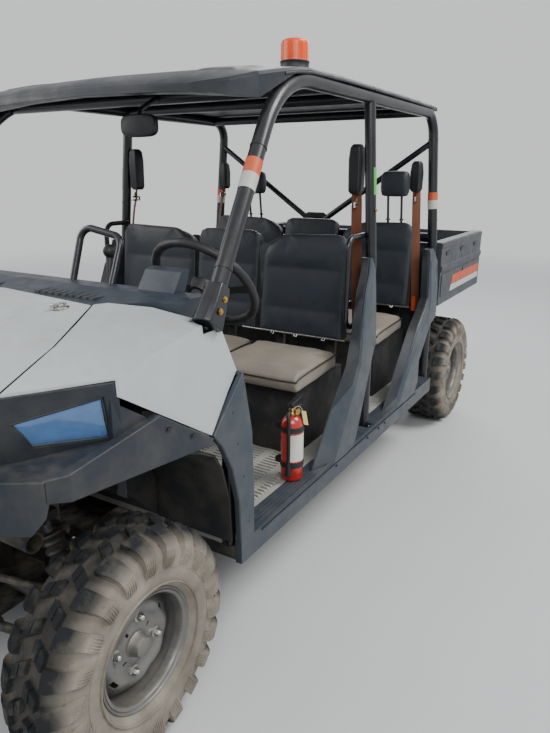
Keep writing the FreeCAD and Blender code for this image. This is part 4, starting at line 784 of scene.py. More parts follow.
def make_tyre(name, side, axle_y, width):
    half = width / 2
    centre = Vector(((HALF_WIDTH - half) * side, axle_y, AXLE_Z))
    mesh = bmesh.new()
    inner = [(-half + 44, 152), (-half + 44, 176), (-half + 20, 224), (-half + 32, 268), (-half + 74, 297),
             (half - 74, 297), (half - 32, 268), (half - 20, 224), (half - 44, 176), (half - 44, 152)]
    add_turned(mesh, shell_profile(half) + inner, centre, (1, 0, 0), 108, closed=True)
    for radius, reach in ((186, 1.6), (226, 1.2)):
        for end in (-1, 1):
            outer = end * (half - 7 + reach)
            add_turned(mesh, ((outer - end * 6, radius - 2.2), (outer, radius - 1), (outer, radius + 1),
                              (outer - end * 6, radius + 2.2)), centre, (1, 0, 0), 108, closed=True)
    pitch = 2 * math.pi / LUG_COUNT
    for index in range(LUG_COUNT):
        shoulder_lug(mesh, centre, side, half, pitch * index)
        shoulder_lug(mesh, centre, -side, half, pitch * (index + 0.5))
        middle_lug(mesh, centre, side, half, pitch * (index + 0.62), 0.03, 0.37, 1.2)
        middle_lug(mesh, centre, -side, half, pitch * (index + 0.12), 0.03, 0.37, 1.2)
    piece = from_bmesh("tyre_%s_tread" % name, mesh, "tyre", wheel_body(name), 38)
    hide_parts("tyre_" + name)


def disc_depth(radius, turn):
    """How far the pressed disc stands out of its mounting plane, by radius and angle."""
    ring = 10 * math.exp(-((radius - 100) / 17) ** 2)
    dish = -26 * max(0.0, (radius - 112) / 34) ** 1.6
    hub = 4 * math.exp(-((radius - 44) / 9) ** 2)
    pad = 0.0
    for index in range(4):
        gap = (turn - math.radians(NUT_TURN + 90 * index) + math.pi) % (2 * math.pi) - math.pi
        reach = math.hypot(radius - NUT_CIRCLE, gap * NUT_CIRCLE)
        pad += 7 * math.exp(-(reach / 17) ** 2)
    wave = 2.4 * math.cos(8 * turn) * math.exp(-((radius - 112) / 16) ** 2)
    return ring + dish + hub - pad * 0.6 + wave


def make_rim(name, side, axle_y, width):
    """Barrel with rolled lips, pressed disc with slots, hub cap and nuts."""
    half = width / 2 - 26
    middle = (HALF_WIDTH - width / 2) * side
    centre = Vector((middle, axle_y, AXLE_Z))
    face = HALF_WIDTH - DISC_INSET - (HALF_WIDTH - width / 2)
    mesh = bmesh.new()
    lip = [(half, 161), (half + 1.5, 163.5), (half, 166.5), (half - 3, 166.5), (half - 5, 160), (half - 7, 152.5),
           (half - 16, 151.5), (half - 22, 149), (half - 30, 148.5)]
    inside = [(half - 3, 157), (half - 5, 150), (half - 8, 147.6), (half - 18, 146.6), (half - 26, 144.8),
              (half - 32, 144.5)]
    outline = lip + [(-x, r) for x, r in reversed(lip)] + [(-x, r) for x, r in reversed(inside)] + inside
    if side < 0:
        outline = [(-x, r) for x, r in outline]
    add_turned(mesh, outline, centre, (1, 0, 0), 96, closed=True)
    barrel = from_bmesh("rim_%s_barrel" % name, mesh, "wheel", wheel_body(name), 50)
    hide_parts("rim_" + name)

    mesh = bmesh.new()
    radii = [33, 38, 44, 50, 56, 62, 68, 74, 80, 86, 91, 96, 101, 105, 109, 113, 117, 121, 126, 131, 136, 141, 146]
    spokes = 144
    grid = []
    for radius in radii:
        grid.append([mesh.verts.new(polar(centre, (face + disc_depth(radius, 2 * math.pi * step / spokes)) * side,
                                          radius, 2 * math.pi * step / spokes)) for step in range(spokes)])
    for ring in range(len(radii) - 1):
        for step in range(spokes):
            if 105 <= radii[ring] < 117 and 10 <= step % 36 <= 15:
                continue
            if 50 <= radii[ring] < 62 and 12 <= step % 36 <= 14:
                continue
            following = (step + 1) % spokes
            mesh.faces.new((grid[ring][step], grid[ring][following], grid[ring + 1][following], grid[ring + 1][step]))
    disc = from_bmesh("rim_%s_disc" % name, mesh, "wheel", wheel_body(name), 60)
    solid = disc.modifiers.new("thickness", "SOLIDIFY")
    solid.thickness = 4.5 * MM
    solid.offset = 0
    bevel(disc, 1.2, 2, 50)

    mesh = bmesh.new()
    out = Vector((side, 0, 0))
    hub = centre + out * (face - 4)
    add_turned(mesh, ((-50, 0), (-50, 31.6), (0, 31.6), (2, 36), (8, 36), (12, 32), (26, 30), (36, 26), (40, 18),
                      (42, 0)), hub, out, 40)
    add_turned(mesh, ((-50, 31.6), (-90, 31.6)) if width > 250 else ((-50, 31.6), (-62, 31.6)), hub, out, 40)
    from_bmesh("rim_%s_cap" % name, mesh, "cast", wheel_body(name), 40)
    mesh = bmesh.new()
    for index in range(4):
        turn = math.radians(NUT_TURN + 90 * index)
        place = polar(centre, (face + 1) * side, NUT_CIRCLE, turn)
        add_turned(mesh, ((-4, 17), (2.5, 16), (3.5, 12.5), (3.5, 0)), place, out, 24)
        add_turned(mesh, ((1, 0), (1, 11), (12, 11), (15, 9)), place, out, 6)
        add_turned(mesh, ((12, 0), (12, 8.8), (16, 8.4), (20, 5.5), (21.5, 0)), place, out, 20)
    from_bmesh("rim_%s_nuts" % name, mesh, "steel", wheel_body(name), 40)


for row in WHEELS:
    make_tyre(*row)
    make_rim(*row)


# Nose

# node, material, body, edge's radius
DRESSED = (
    ("hood", "paint", "hood", 2.2),
    ("front_liner", "liner", "chassis", 2.0),
    ("rocker_panels", "slate", "chassis", 4.0),
    ("rear_bulkhead", "trim", "chassis", 3.0),
    ("front_bumper", "frame", "chassis", 1.5),
    ("hitch_receiver", "frame", "chassis", 2.0),
    ("skid_plate", "skid", "chassis", 2.0),
    ("engine", "cast", "chassis", 8.0),
    ("belt_retractors", "rubber", "chassis", 5.0),
    ("seat_base_front", "liner", "chassis", 5.0),
    ("seat_base_rear", "liner", "chassis", 5.0),
)
for node, material, body, width in DRESSED:
    dressed(node, material, body, width)


# y, middle z, seam x, seam z, ridge x, ridge z, foot x
SKIN = ((-1945, 1072, 700, 1058, 762, 1042, 775), (-1480, 1142, 552, 1128, 768, 1096, 777),
        (-1310, 1165, 470, 1152, 752, 1121, 777), (-1035, 1203, 400, 1197, 733, 1150, 777),
        (-960, 1203, 400, 1197, 733, 1150, 777))
NOSE_PLAN = ((0, -1930), (300, -1915), (480, -1850), (640, -1690), (775, -1480))
FENDER_PLAN = ((636, -1676), (768, -1471), (800, -1421), (800, -965), (700, -965), (682, -1096), (549, -1106),
               (430, -1161), (402, -1187), (544, -1452))
FENDER_SIDE = ((-1720, 1040), (-1507, 1072), (-1351, 972), (-1136, 832), (-980, 978), (-1042, 1134), (-1042, 1260),
               (-1720, 1260))
LENS_SIDE = ((-1501, 1057), (-1664, 1026), (-1625, 959), (-1480, 949))
FLARE_PLAN = ((782, -1100), (782, -1642), (752, -1684), (752, -1100))
FLARE_SIDE = ((-1140, 826), (-1355, 969), (-1690, 930), (-1690, 877), (-1156, 811))
LEDGE_PLAN = ((751.6, -1365), (751.6, -1686), (486, -1849), (470, -1790), (600, -1640), (720, -1440), (720, -1365))
LEDGE_SIDE = ((-1366, 966), (-1480, 945), (-1640, 930), (-1860, 926), (-1860, 800), (-1704, 800), (-1672, 873),
              (-1366, 873))
CHEEK = ((-1378, 968), (-1490, 1045), (-1490, 930), (-1378, 930))
# room cut out of the moulding over the lamp ledge and at the arch: outline in plan, low and high z
MOULDING_CUTS = ((((480, -1640), (800, -1640), (800, -1440), (480, -1440)), 700, 926),
                 (((751.6, -1700), (800, -1700), (800, -1095), (751.6, -1095)), 760, 981))
SIDE_PANEL = ((-978, 976), (-933, 774), (-924, 562), (-926, 410.3), (-1004, 410.3), (-1012, 562), (-1044, 685),
              (-1092, 778), (-1132, 826))


def halves(outline):
    """An outline and its mirror image as one ring."""
    return list(outline) + [(-x, other) for x, other in reversed(outline) if x]


def skin_ring(row, depth, down=None):
    """A section of the nose's skin, or of the room below it down to a height."""
    y, middle_z, seam_x, seam_z, ridge_x, ridge_z, foot_x = row
    line = [(0, middle_z - depth), (seam_x, seam_z - depth), (ridge_x - depth * 0.8, ridge_z - depth),
            (foot_x - depth, 700)]
    if down:
        line.append((foot_x - depth, down))
        return [(x, y, z) for x, z in halves(line)]
    outer = [(0, middle_z), (seam_x, seam_z), (ridge_x, ridge_z), (foot_x, 700)]
    left = [(-x, z) for x, z in reversed(outer[1:])]
    inner = list(reversed(line)) + [(-x, z) for x, z in line[1:]]
    return [(x, y, z) for x, z in left + outer + inner]


def make_nose():
    """Fenders, dark moulding round the lamps, arch bands and the panels before the doors, each from its outlines."""
    mesh = bmesh.new()
    bridge(mesh, [skin_ring(row, 5) for row in SKIN])
    notch = from_above(((686, -1124), (790, -1124), (790, -1030), (686, -1030)), 1116, 1300)
    fender = carve(raw(mesh), ("INTERSECT", from_above(FENDER_PLAN, 700, 1300)),
                   ("INTERSECT", from_side(FENDER_SIDE, 380, 800)), ("DIFFERENCE", notch))
    piece = bevel(from_bmesh("fender_pair", both(fender), "paint", "chassis", 30), 2.2)
    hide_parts("front_fenders")

    mesh = bmesh.new()
    rings = []
    for height, back in ((770, 40), (1120, 0)):
        outer = [(x - back * (x > 0), y + back) for x, y in NOSE_PLAN]
        inner = [(max(x - 22, 0), y + 22) for x, y in outer]
        ring = [(-x, y) for x, y in reversed(outer[1:])] + outer + list(reversed(inner)) + [(-x, y)
                                                                                            for x, y in inner[1:]]
        rings.append([(x, y, height) for x, y in ring])
    bridge(mesh, rings)
    room = bmesh.new()
    bridge(room, [skin_ring(row, 7, 250) for row in SKIN])
    steps = [("INTERSECT", raw(room))]
    for side in (1, -1):
        for outline, low, high in MOULDING_CUTS:
            steps.append(("DIFFERENCE", from_above([(x * side, y) for x, y in outline], low, high)))
        steps.append(("DIFFERENCE", from_side(LENS_SIDE, *sorted((430 * side, 800 * side)))))
    for index in range(4):
        z = 810 + 44 * index
        steps.append(("DIFFERENCE", from_side(((-1940, z), (-1840, z), (-1840, z + 26), (-1940, z + 26)), -300, 300)))
    band = carve(raw(mesh), *steps)
    mesh = bmesh.new()
    mesh.from_mesh(band.data)
    bpy.data.objects.remove(band)
    clean(mesh, 0.02)
    piece = bevel(from_bmesh("nose_moulding", mesh, "trim", "chassis", 30), 2.5)
    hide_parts("nose_fascia")
    ledge = carve(from_above(LEDGE_PLAN, 700, 1100), ("INTERSECT", from_side(LEDGE_SIDE, 400, 800)))
    bevel(from_bmesh("lamp_ledges", both(ledge), "trim", "chassis", 30), 5.0, 3)
    bevel(from_bmesh("lamp_cheeks", both(from_side(CHEEK, 742, 758)), "trim", "chassis", 30), 2.5)
    flare = carve(from_above(FLARE_PLAN, 700, 1100), ("INTERSECT", from_side(FLARE_SIDE, 400, 800)))
    piece = bevel(from_bmesh("arch_bands", both(flare), "trim", "chassis", 30), 4.0, 3)
    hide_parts("wheel_flares")
    panel = from_side(SIDE_PANEL, 752, 775)
    piece = bevel(from_bmesh("door_front_panels", both(panel), "slate", "chassis", 30), 6.0, 3)
    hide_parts("side_panels")
    back = from_side(SIDE_PANEL[:4] + ((-938, 410.3), (-936, 562), (-945, 770), (-990, 970)), 694, 760)
    bevel(from_bmesh("door_returns", both(back), "facet", "chassis", 30), 3.0)


def skin_height(x, y):
    """The hood's and fenders' height at a place in plan."""
    y = min(max(y, SKIN[0][0]), SKIN[-1][0])
    for low, high in zip(SKIN, SKIN[1:]):
        if low[0] <= y <= high[0]:
            share = (y - low[0]) / (high[0] - low[0])
            _, middle, seam_x, seam_z, ridge_x, ridge_z, _ = [a + (b - a) * share for a, b in zip(low, high)]
            break
    reach = abs(x)
    if reach < seam_x:
        return middle + (seam_z - middle) * reach / seam_x
    return seam_z + (ridge_z - seam_z) * (reach - seam_x) / (ridge_x - seam_x)


def make_hood_trim():
    """Raised centre panel of the hood, its creases, and the two latches."""
    mesh = bmesh.new()
    columns = 12
    # y, half width of the raised panel
    stations = ((-1868, 196), (-1800, 214), (-1640, 236), (-1480, 252), (-1330, 262), (-1235, 254), (-1205, 236))
    for side in (-1, 1):
        rows = []
        for y, reach in stations:
            rows.append([mesh.verts.new((side * (24 + (reach - 24) * step / columns), y,
                                         skin_height(24 + (reach - 24) * step / columns, y)
                                         + 5.0 * min(1, 4 * step / columns, 3.0 * (columns - step) / columns)
                                         * (0.1 if y in (-1868, -1205) else 1)))
                         for step in range(columns + 1)])
        join_rows(mesh, rows)
    panel = from_bmesh("hood_raised_panel", mesh, "paint", "hood", 30)
    soft = panel.modifiers.new("soft", "SUBSURF")
    soft.levels = soft.render_levels = 1

    mesh = bmesh.new()
    for side in (-1, 1):
        x, y = 329 * side, -1244
        z = skin_height(x, y)
        add_turned(mesh, ((-2, 0), (-2, 27), (3, 27), (6, 22), (6, 0)), (x, y, z), (0, 0, 1), 28)
        add_turned(mesh, ((5, 0), (5, 13), (10, 13), (13, 9), (13, 0)), (x, y, z), (0, 0, 1), 24)
        add_box(mesh, (x - 5, y - 30, z + 9), (x + 5, y + 24, z + 15), taper=0.8)
        add_turned(mesh, ((-7, 0), (-7, 5), (7, 5), (7, 0)), (x, y - 27, z + 12), (1, 0, 0), 14)
    latches = bevel(from_bmesh("hood_latch_pair", mesh, "steel", "hood"), 1.2)
    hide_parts("hood_latches")


LENS_FRONT = ((-1503, 1055), (-1661, 1024), (-1623, 961), (-1482, 951))


def nose_x(y, z, inset):
    """The nose band's outer face: x at a place along it, back by an inset."""
    back = 40 * (1120 - z) / 350 + inset
    points = [(x - back * (x > 0), py + back) for x, py in NOSE_PLAN]
    for (ax, ay), (bx, by) in zip(points, points[1:]):
        if ay <= y <= by:
            return ax + (bx - ax) * (y - ay) / (by - ay)
    return points[-1][0]


def lens_point(across, up, inset):
    """A place on the headlamp: across 0 back to 1 front, up 0 low to 1 high."""
    top_back, top_front, low_front, low_back = LENS_FRONT
    y, z = [(a * (1 - up) + b * up) * (1 - across) + (c * (1 - up) + d * up) * across
            for a, b, c, d in zip(low_back, top_back, low_front, top_front)]
    return nose_x(y, z, inset), y, z


def add_sheet(mesh, point, columns, rows, side):
    """A grid of faces over two shares of 0 to 1."""
    grid = []
    for row in range(rows + 1):
        grid.append([])
        for column in range(columns + 1):
            x, y, z = point(column / columns, row / rows)
            grid[-1].append(mesh.verts.new((x * side, y, z)))
    join_rows(mesh, grid)


def make_headlamps():
    """Faceted reflector with two bulbs' bowls behind a clear ribbed lens, in a dark bezel. Their blue colour is a
    painted sky reflection, not the reflector's or the lens's own colour.
    """
    for tag, side in SIDES:
        mesh = bmesh.new()

        def bowl(across, up):
            x, y, z = lens_point(0.03 + across * 0.94, 0.05 + up * 0.9, 9)
            facet = 0.3 * (0.5 - abs((across * 5) % 1 - 0.5))
            depth = 26 * math.sin(math.pi * across) ** 0.5 * math.sin(math.pi * up) ** 0.5 + 5 * facet
            return x - depth * 0.72, y + depth * 0.55, z

        add_sheet(mesh, bowl, 54, 14, side)
        reflector = from_bmesh("headlamp_reflector_" + tag, mesh, "reflector", "chassis", 12)
        mesh = bmesh.new()
        for across in (0.30, 0.66):
            x, y, z = lens_point(across, 0.52, 26)
            add_turned(mesh, ((0, 0), (0, 12), (8, 11), (14, 7), (16, 0)), (x * side, y, z), (0.72 * side, -0.6, 0.1),
                       20)
        from_bmesh("headlamp_bulbs_" + tag, mesh, "mirror", "chassis")
        mesh = bmesh.new()

        def cover(across, up):
            x, y, z = lens_point(across, up, 3)
            swell = 3.0 * min(1, 8 * min(across, 1 - across, up, 1 - up))
            return x + swell * 0.7, y - swell * 0.55, z

        add_sheet(mesh, cover, 30, 12, side)
        lens = from_bmesh("headlamp_lens_" + tag, mesh, "clear_lens_painted_reflection", "chassis", 40)
        thick = lens.modifiers.new("thick", "SOLIDIFY")
        thick.thickness = 2.2 * MM
        mesh = bmesh.new()
        rim = [lens_point(a, u, 3) for a, u in ((0, 0), (0.5, 0), (1, 0), (1, 0.5), (1, 1), (0.5, 1), (0, 1),
                                                (0, 0.5), (0, 0))]
        add_tube(mesh, [(x * side, y, z) for x, y, z in rim], 4.2, 8)
        bezel = from_bmesh("headlamp_bezel_" + tag, mesh, "trim", "chassis", 50)
        if side > 0:
            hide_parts("headlamps")
        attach(bezel, "chassis")


FLARE_SCREWS = ((-1330, 925), (-1236, 872))


def make_flare_screws():
    mesh = bmesh.new()
    for side in (-1, 1):
        for y, z in FLARE_SCREWS:
            add_turned(mesh, ((0, 9.5), (1.2, 10.5), (2.2, 9.5), (1.0, 7.5), (1.0, 0)), (781.5 * side, y, z),
                       (side, 0, 0), 24)
            add_bolt(mesh, (781 * side, y, z), (side, 0, 0), 5.0, 4.0)
    from_bmesh("flare_screws", mesh, "rubber", "chassis")


def make_grille():
    """Mesh of slim bars behind the nose's slots."""
    mesh = bmesh.new()
    for step in range(25):
        x = -288 + 24 * step
        add_box(mesh, (x - 2, -1878, 806), (x + 2, -1870, 968))
    for step in range(7):
        z = 812 + 25 * step
        add_box(mesh, (-296, -1880, z - 2), (296, -1873, z + 2))
    from_bmesh("grille_mesh", mesh, "rubber", "chassis", 0)


make_nose()
make_hood_trim()
make_headlamps()
make_flare_screws()
make_grille()


# Cab

def make_dash():
    """Rounded dash with two gauges on its pod, vents, switches and the cowl's slots."""
    dressed("dash", "dash", "chassis", 7.0, 3)
    mesh = bmesh.new()
    # the pod's face: two round gauges
    face_low = Vector((476, -943, 1192))
    up = Vector((0, 29, 70)).normalized()
    out = Vector((0, 70, -29)).normalized()
    for offset in (-36, 36):
        centre = face_low + Vector((offset, 0, 0)) + up * 30
        add_turned(mesh, ((0, 25), (3, 27), (5, 26), (4, 23), (1.5, 22), (1.5, 0)), centre, out, 36)
    from_bmesh("pod_gauges", mesh, "face", "chassis")
    mesh = bmesh.new()
    for offset in (-36, 36):
        centre = face_low + Vector((offset, 0, 0)) + up * 30 + out * 2.2
        for tick in range(11):
            turn = math.radians(-130 + 26 * tick)
            run = Vector((1, 0, 0)) * math.sin(turn) + up * math.cos(turn)
            add_tube(mesh, (centre + run * 15, centre + run * 19), 0.7, 4)
        add_tube(mesh, (centre, centre + (Vector((1, 0, 0)) * -0.7 + up * 0.7) * 14), 0.9, 4)
    from_bmesh("pod_ticks", mesh, "blank_label", "chassis")
    mesh = bmesh.new()
    for x in (-430, -300, 90):
        for slat in range(5):
            add_box(mesh, (x - 42, -899, 1070 + slat * 9), (x + 42, -889, 1074 + slat * 9))
        add_tube(mesh, [(x - 48, -893, 1064), (x + 48, -893, 1064), (x + 48, -895, 1116), (x - 48, -895, 1116),
                        (x - 48, -893, 1064)], 3.2, 6)
    from_bmesh("dash_vents", mesh, "rubber", "chassis")
    mesh = bmesh.new()
    for x in (250, 290, 330, 370, 610):
        add_box(mesh, (x - 12, -902, 1092), (x + 12, -890, 1122), taper=0.9)
    bevel(from_bmesh("dash_switches", mesh, "rubber", "chassis"), 2.0)
    mesh = bmesh.new()
    for side in (-1, 1):
        for step in range(9):
            x = side * (110 + 30 * step)
            add_box(mesh, (x - 10, -1150, 1167.5), (x + 10, -1082, 1181), taper=0.9)
    bevel(from_bmesh("cowl_slots", mesh, "trim", "chassis"), 2.0)


def make_floor_mat():
    """Ribbed rubber mat over the floor, with a raised border."""
    mesh = bmesh.new()
    half = 684
    for low, high in ((-985, -345), (110, 495)):
        steps = int((high - low) / 22)
        for step in range(steps):
            y = low + 12 + 22 * step
            add_box(mesh, (-half + 24, y - 6, 403.8), (half - 24, y + 6, 411.5), taper=0.985)
        for x in (-half + 8, half - 8):
            add_box(mesh, (x - 8, low, 403.8), (x + 8, high, 412), taper=0.98)
    mat = from_bmesh("floor_mat_ribs", mesh, "mat", "chassis", 0)
    bevel(mat, 1.5, 1)


def make_sill_trim():
    """Tread strips along the door sills and screws in the side panels."""
    mesh = bmesh.new()
    for side in (-1, 1):
        for offset in range(4):
            x = side * (700 + 16 * offset)
            for low, high in ((-905, -440), (340, 560)):
                add_box(mesh, (x - 4, low, 410), (x + 4, high, 413.5), taper=0.9)
        add_box(mesh, (side * 764 - 5, -900, 409), (side * 764 + 5, 760, 415), taper=0.8)
    bevel(from_bmesh("sill_treads", mesh, "slate", "chassis"), 1.2, 1)
    mesh = bmesh.new()
    for side in (-1, 1):
        for y, z in ((-960, 470), (-985, 640), (-1015, 760), (-1038, 868), (30, 385), (160, 385), (-300, 385),
                     (240, 385)):
            x = 772 if y < -900 else 774
            add_bolt(mesh, (x * side, y, z), (side, 0, 0), 4.5, 3.5, 6)
    from_bmesh("panel_screws", mesh, "rubber", "chassis")


make_dash()
make_floor_mat()
make_sill_trim()


# Steering wheel

def make_steering_wheel():
    """Padded rim with finger grips, three flat spokes and a hub pad."""
    rake = math.radians(38)
    centre = Vector((495, -785, 1183))
    axis = Vector((0, math.cos(rake), math.sin(rake)))
    across = Vector((1, 0, 0))
    upward = across.cross(axis) * -1
    upward = upward if upward.z > 0 else upward * -1
    mesh = bmesh.new()
    ring = []
    segments = 96
    for step in range(segments):
        turn = 2 * math.pi * step / segments
        run = across * math.cos(turn) + upward * math.sin(turn)
        thick = 14.6 + 0.6 * math.cos(turn * 24)
        ring.append([mesh.verts.new(centre + run * 182 + (run * math.cos(a) + axis * math.sin(a)) * thick)
                     for a in [2 * math.pi * k / 14 for k in range(14)]])
    for index in range(segments):
        low, high = ring[index], ring[(index + 1) % segments]
        for k in range(14):
            mesh.faces.new((low[k], low[(k + 1) % 14], high[(k + 1) % 14], high[k]))
    rim = from_bmesh("steering_rim", mesh, "rubber", "steering_wheel", 60)
    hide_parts("steering_wheel")
    mesh = bmesh.new()
    for degrees in (0, 180, 270):
        turn = math.radians(degrees)
        run = across * math.cos(turn) + upward * math.sin(turn)
        wide = axis.cross(run)
        base = centre - axis * 26
        rows = ((20, 26, -4), (60, 22, -2), (120, 15, 14), (172, 17, 24))
        rings = []
        for reach, half, lift in rows:
            middle = base + run * reach + axis * lift
            rings.append([mesh.verts.new(middle + wide * a + axis * b) for a, b in
                          ((-half, -3), (half, -3), (half, 3), (half * 0.5, 6), (-half * 0.5, 6), (-half, 3))])
        for low, high in zip(rings, rings[1:]):
            for k in range(6):
                mesh.faces.new((low[k], low[(k + 1) % 6], high[(k + 1) % 6], high[k]))
        mesh.faces.new(rings[0])
        mesh.faces.new(list(reversed(rings[-1])))
    bevel(from_bmesh("steering_spokes", mesh, "rubber", "steering_wheel"), 1.5)
    mesh = bmesh.new()
    add_turned(mesh, ((-45, 0), (-45, 34), (-30, 37), (-18, 42), (-10, 42), (-2, 36), (0, 26), (0, 0)), centre, axis,
               40)
    from_bmesh("steering_hub", mesh, "rubber", "steering_wheel", 40)


make_steering_wheel()


# Side blades and rear quarter panels

def lean(z):
    """The cab side's outer x, which leans in above the waist."""
    rows = ((300, 774), (760, 774), (900, 768), (1190, 744), (1300, 735))
    z = min(max(z, rows[0][0]), rows[-1][0])
    for low, high in zip(rows, rows[1:]):
        if z <= high[0]:
            return low[1] + (high[1] - low[1]) * (z - low[0]) / (high[0] - low[0])


# z, front edge's y, ridge's distance behind it, rear edge's y
BLADE = ((402, -519, 190, -112), (450, -478, 180, -88), (525, -415, 170, -53), (605, -351, 160, -18),
         (690, -272, 140, 18), (767, -203, 115, 52), (818, -182, 100, 87), (874, -157, 85, 92), (960, -124, 72, 97),
         (1065, -78, 64, 103), (1131, -32, 60, 105), (1176, 2, 40, 84), (1192, 16, 30, 66))
QUARTER = ((402, 245, 150, 688), (459, 296, 140, 736), (530, 362, 130, 731), (575, 398, 120, 732),
           (650, 466, 110, 800), (743, 551, 95, 884), (769, 578, 88, 978), (835, 678, 80, 988), (897, 756, 74, 993),
           (980, 773, 70, 1000), (1072, 789, 66, 1004), (1118, 800, 56, 962), (1148, 812, 36, 930))


def facet_foot(front, back):
    """The facet's inner edge, behind the front edge seen past the ridge."""
    return front + min(70, (back - front) * 0.6)


def make_blades():
    """Panels over the middle and rear pillars: a dark slanted front facet, a ridge and a smooth outer face."""
    for node, tag, rows in (("pillar_panels", "middle", BLADE), ("quarter_panels", "rear", QUARTER)):
        for word, side in SIDES:
            mesh = bmesh.new()
            bridge(mesh, [[(side * (lean(z) - 44), facet_foot(front, back), z),
                           (side * (lean(z) - 4), front + ridge - 4, z), (side * lean(z), front + ridge + 2, z),
                           (side * (lean(z) + 1), (front + ridge + back) / 2, z),
                           (side * (lean(z) - 2), back - 12, z), (side * (lean(z) - 9), back, z),
                           (side * (lean(z) - 44), back - 2, z)] for z, front, ridge, back in rows])
            outer = bevel(from_bmesh("blade_%s_%s" % (tag, word), mesh, "slate", "chassis", 28), 2.5, 2, 28)
            mesh = bmesh.new()
            bridge(mesh, [[(side * (lean(z) - 47), facet_foot(front, back) - 5, z),
                           (side * (lean(z) - 10), front + ridge - 14, z),
                           (side * (lean(z) - 8), front + ridge - 6, z),
                           (side * (lean(z) - 45), facet_foot(front, back) + 3, z)]
                          for z, front, ridge, back in rows])
            from_bmesh("blade_facet_%s_%s" % (tag, word), mesh, "facet", "chassis", 28)
            if side > 0:
                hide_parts(node)
    mesh = bmesh.new()
    for side in (1, -1):
        add_tube(mesh, [(side * (lean(z) + 1), y, z)
                        for y, z in ((430, 430), (520, 540), (620, 640), (700, 720), (815, 800), (850, 880),
                                     (862, 1090))], 3.2, 8, 0.5)
        add_tube(mesh, [(side * 775, y, z) for y, z in ((-880, 396), (-300, 398), (300, 398), (690, 396))], 3.5, 8,
                 0.6)
    from_bmesh("blade_creases", mesh, "slate", "chassis", 60)


make_blades()


# Seats

# back's outline: x, z
BACKS = (
    ("driver", ((224, 826), (228, 1190), (248, 1228), (299, 1260), (360, 1276), (596, 1282), (626, 1270), (641, 1238),
                (644, 826))),
    ("middle", ((-146, 826), (-146, 1238), (-134, 1270), (-106, 1282), (158, 1282), (186, 1270), (198, 1238),
                (198, 826))),
    ("passenger", ((-638, 826), (-636, 1238), (-622, 1270), (-594, 1282), (-300, 1276), (-240, 1260), (-188, 1228),
                   (-168, 1190), (-164, 826))),
)
# cushion's ends in x
CUSHIONS = (("driver", 218, 638), ("middle", -146, 200), ("passenger", -636, -164))
# cushion's side: y from its front, z
CUSHION_SIDE = ((16, 700), (2, 722), (-2, 744), (4, 764), (20, 778), (46, 784), (110, 782), (230, 786), (362, 790),
                (370, 776), (370, 716))
SEAT_PITCH = 837


def puff(piece, pinned, cap):
    """Blown up between its seams as cloth round a filling. Movement is held to a cap in millimetres."""
    bevel(piece, 12, 3, 25)
    remesh = piece.modifiers.new("remesh", "REMESH")
    remesh.mode = "VOXEL"
    remesh.voxel_size = 8 * MM
    set_mesh(piece)
    rest = [vertex.co.copy() for vertex in piece.data.vertices]
    seams = piece.vertex_groups.new(name="seams")
    seams.add([index for index, place in enumerate(rest) if pinned(place * 1000)], 1.0, "REPLACE")
    cloth = piece.modifiers.new("cloth", "CLOTH")
    cloth.settings.quality = 5
    cloth.settings.mass = 0.3
    cloth.settings.use_pressure = True
    cloth.settings.uniform_pressure_force = 4.0
    cloth.settings.vertex_group_mass = "seams"
    cloth.settings.effector_weights.gravity = 0
    cloth.point_cache.frame_end = 20
    for frame_number in range(1, 21):
        bpy.context.scene.frame_set(frame_number)
    blown = piece.evaluated_get(bpy.context.evaluated_depsgraph_get()).data
    moved = [vertex.co.copy() for vertex in blown.vertices]
    piece.modifiers.clear()
    for vertex, start, end in zip(piece.data.vertices, rest, moved):
        shift = end - start
        reach = shift.length
        vertex.co = start + shift * min(1.0, cap * MM / reach) if reach > 1e-9 else start
    bpy.context.scene.frame_set(1)
    soft = piece.modifiers.new("smooth", "SMOOTH")
    soft.factor = 0.5
    soft.iterations = 3
    set_mesh(piece)
    piece.data.polygons.foreach_set("use_smooth", [True] * len(piece.data.polygons))


def two_rows(piece, node):
    """Front seat's piece, made finer, and its twin in the rear row."""
    twin = piece.copy()
    twin.data = piece.data.copy()
    twin.data.transform(Matrix.Translation((0, SEAT_PITCH * MM, 0)))
    twin.name = piece.name.replace("front", "rear")
    bpy.context.collection.objects.link(twin)
    fine = piece.modifiers.new("fine", "SUBSURF")
    fine.levels = fine.render_levels = 1
    for row, made in (("front", piece), ("rear", twin)):
        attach(made, "chassis")
        if "driver" in piece.name:
            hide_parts(node + "_" + row)


def back_shift(z):
    """How far a seat back has leant back at a height."""
    return 50 * (z - 812) / 471


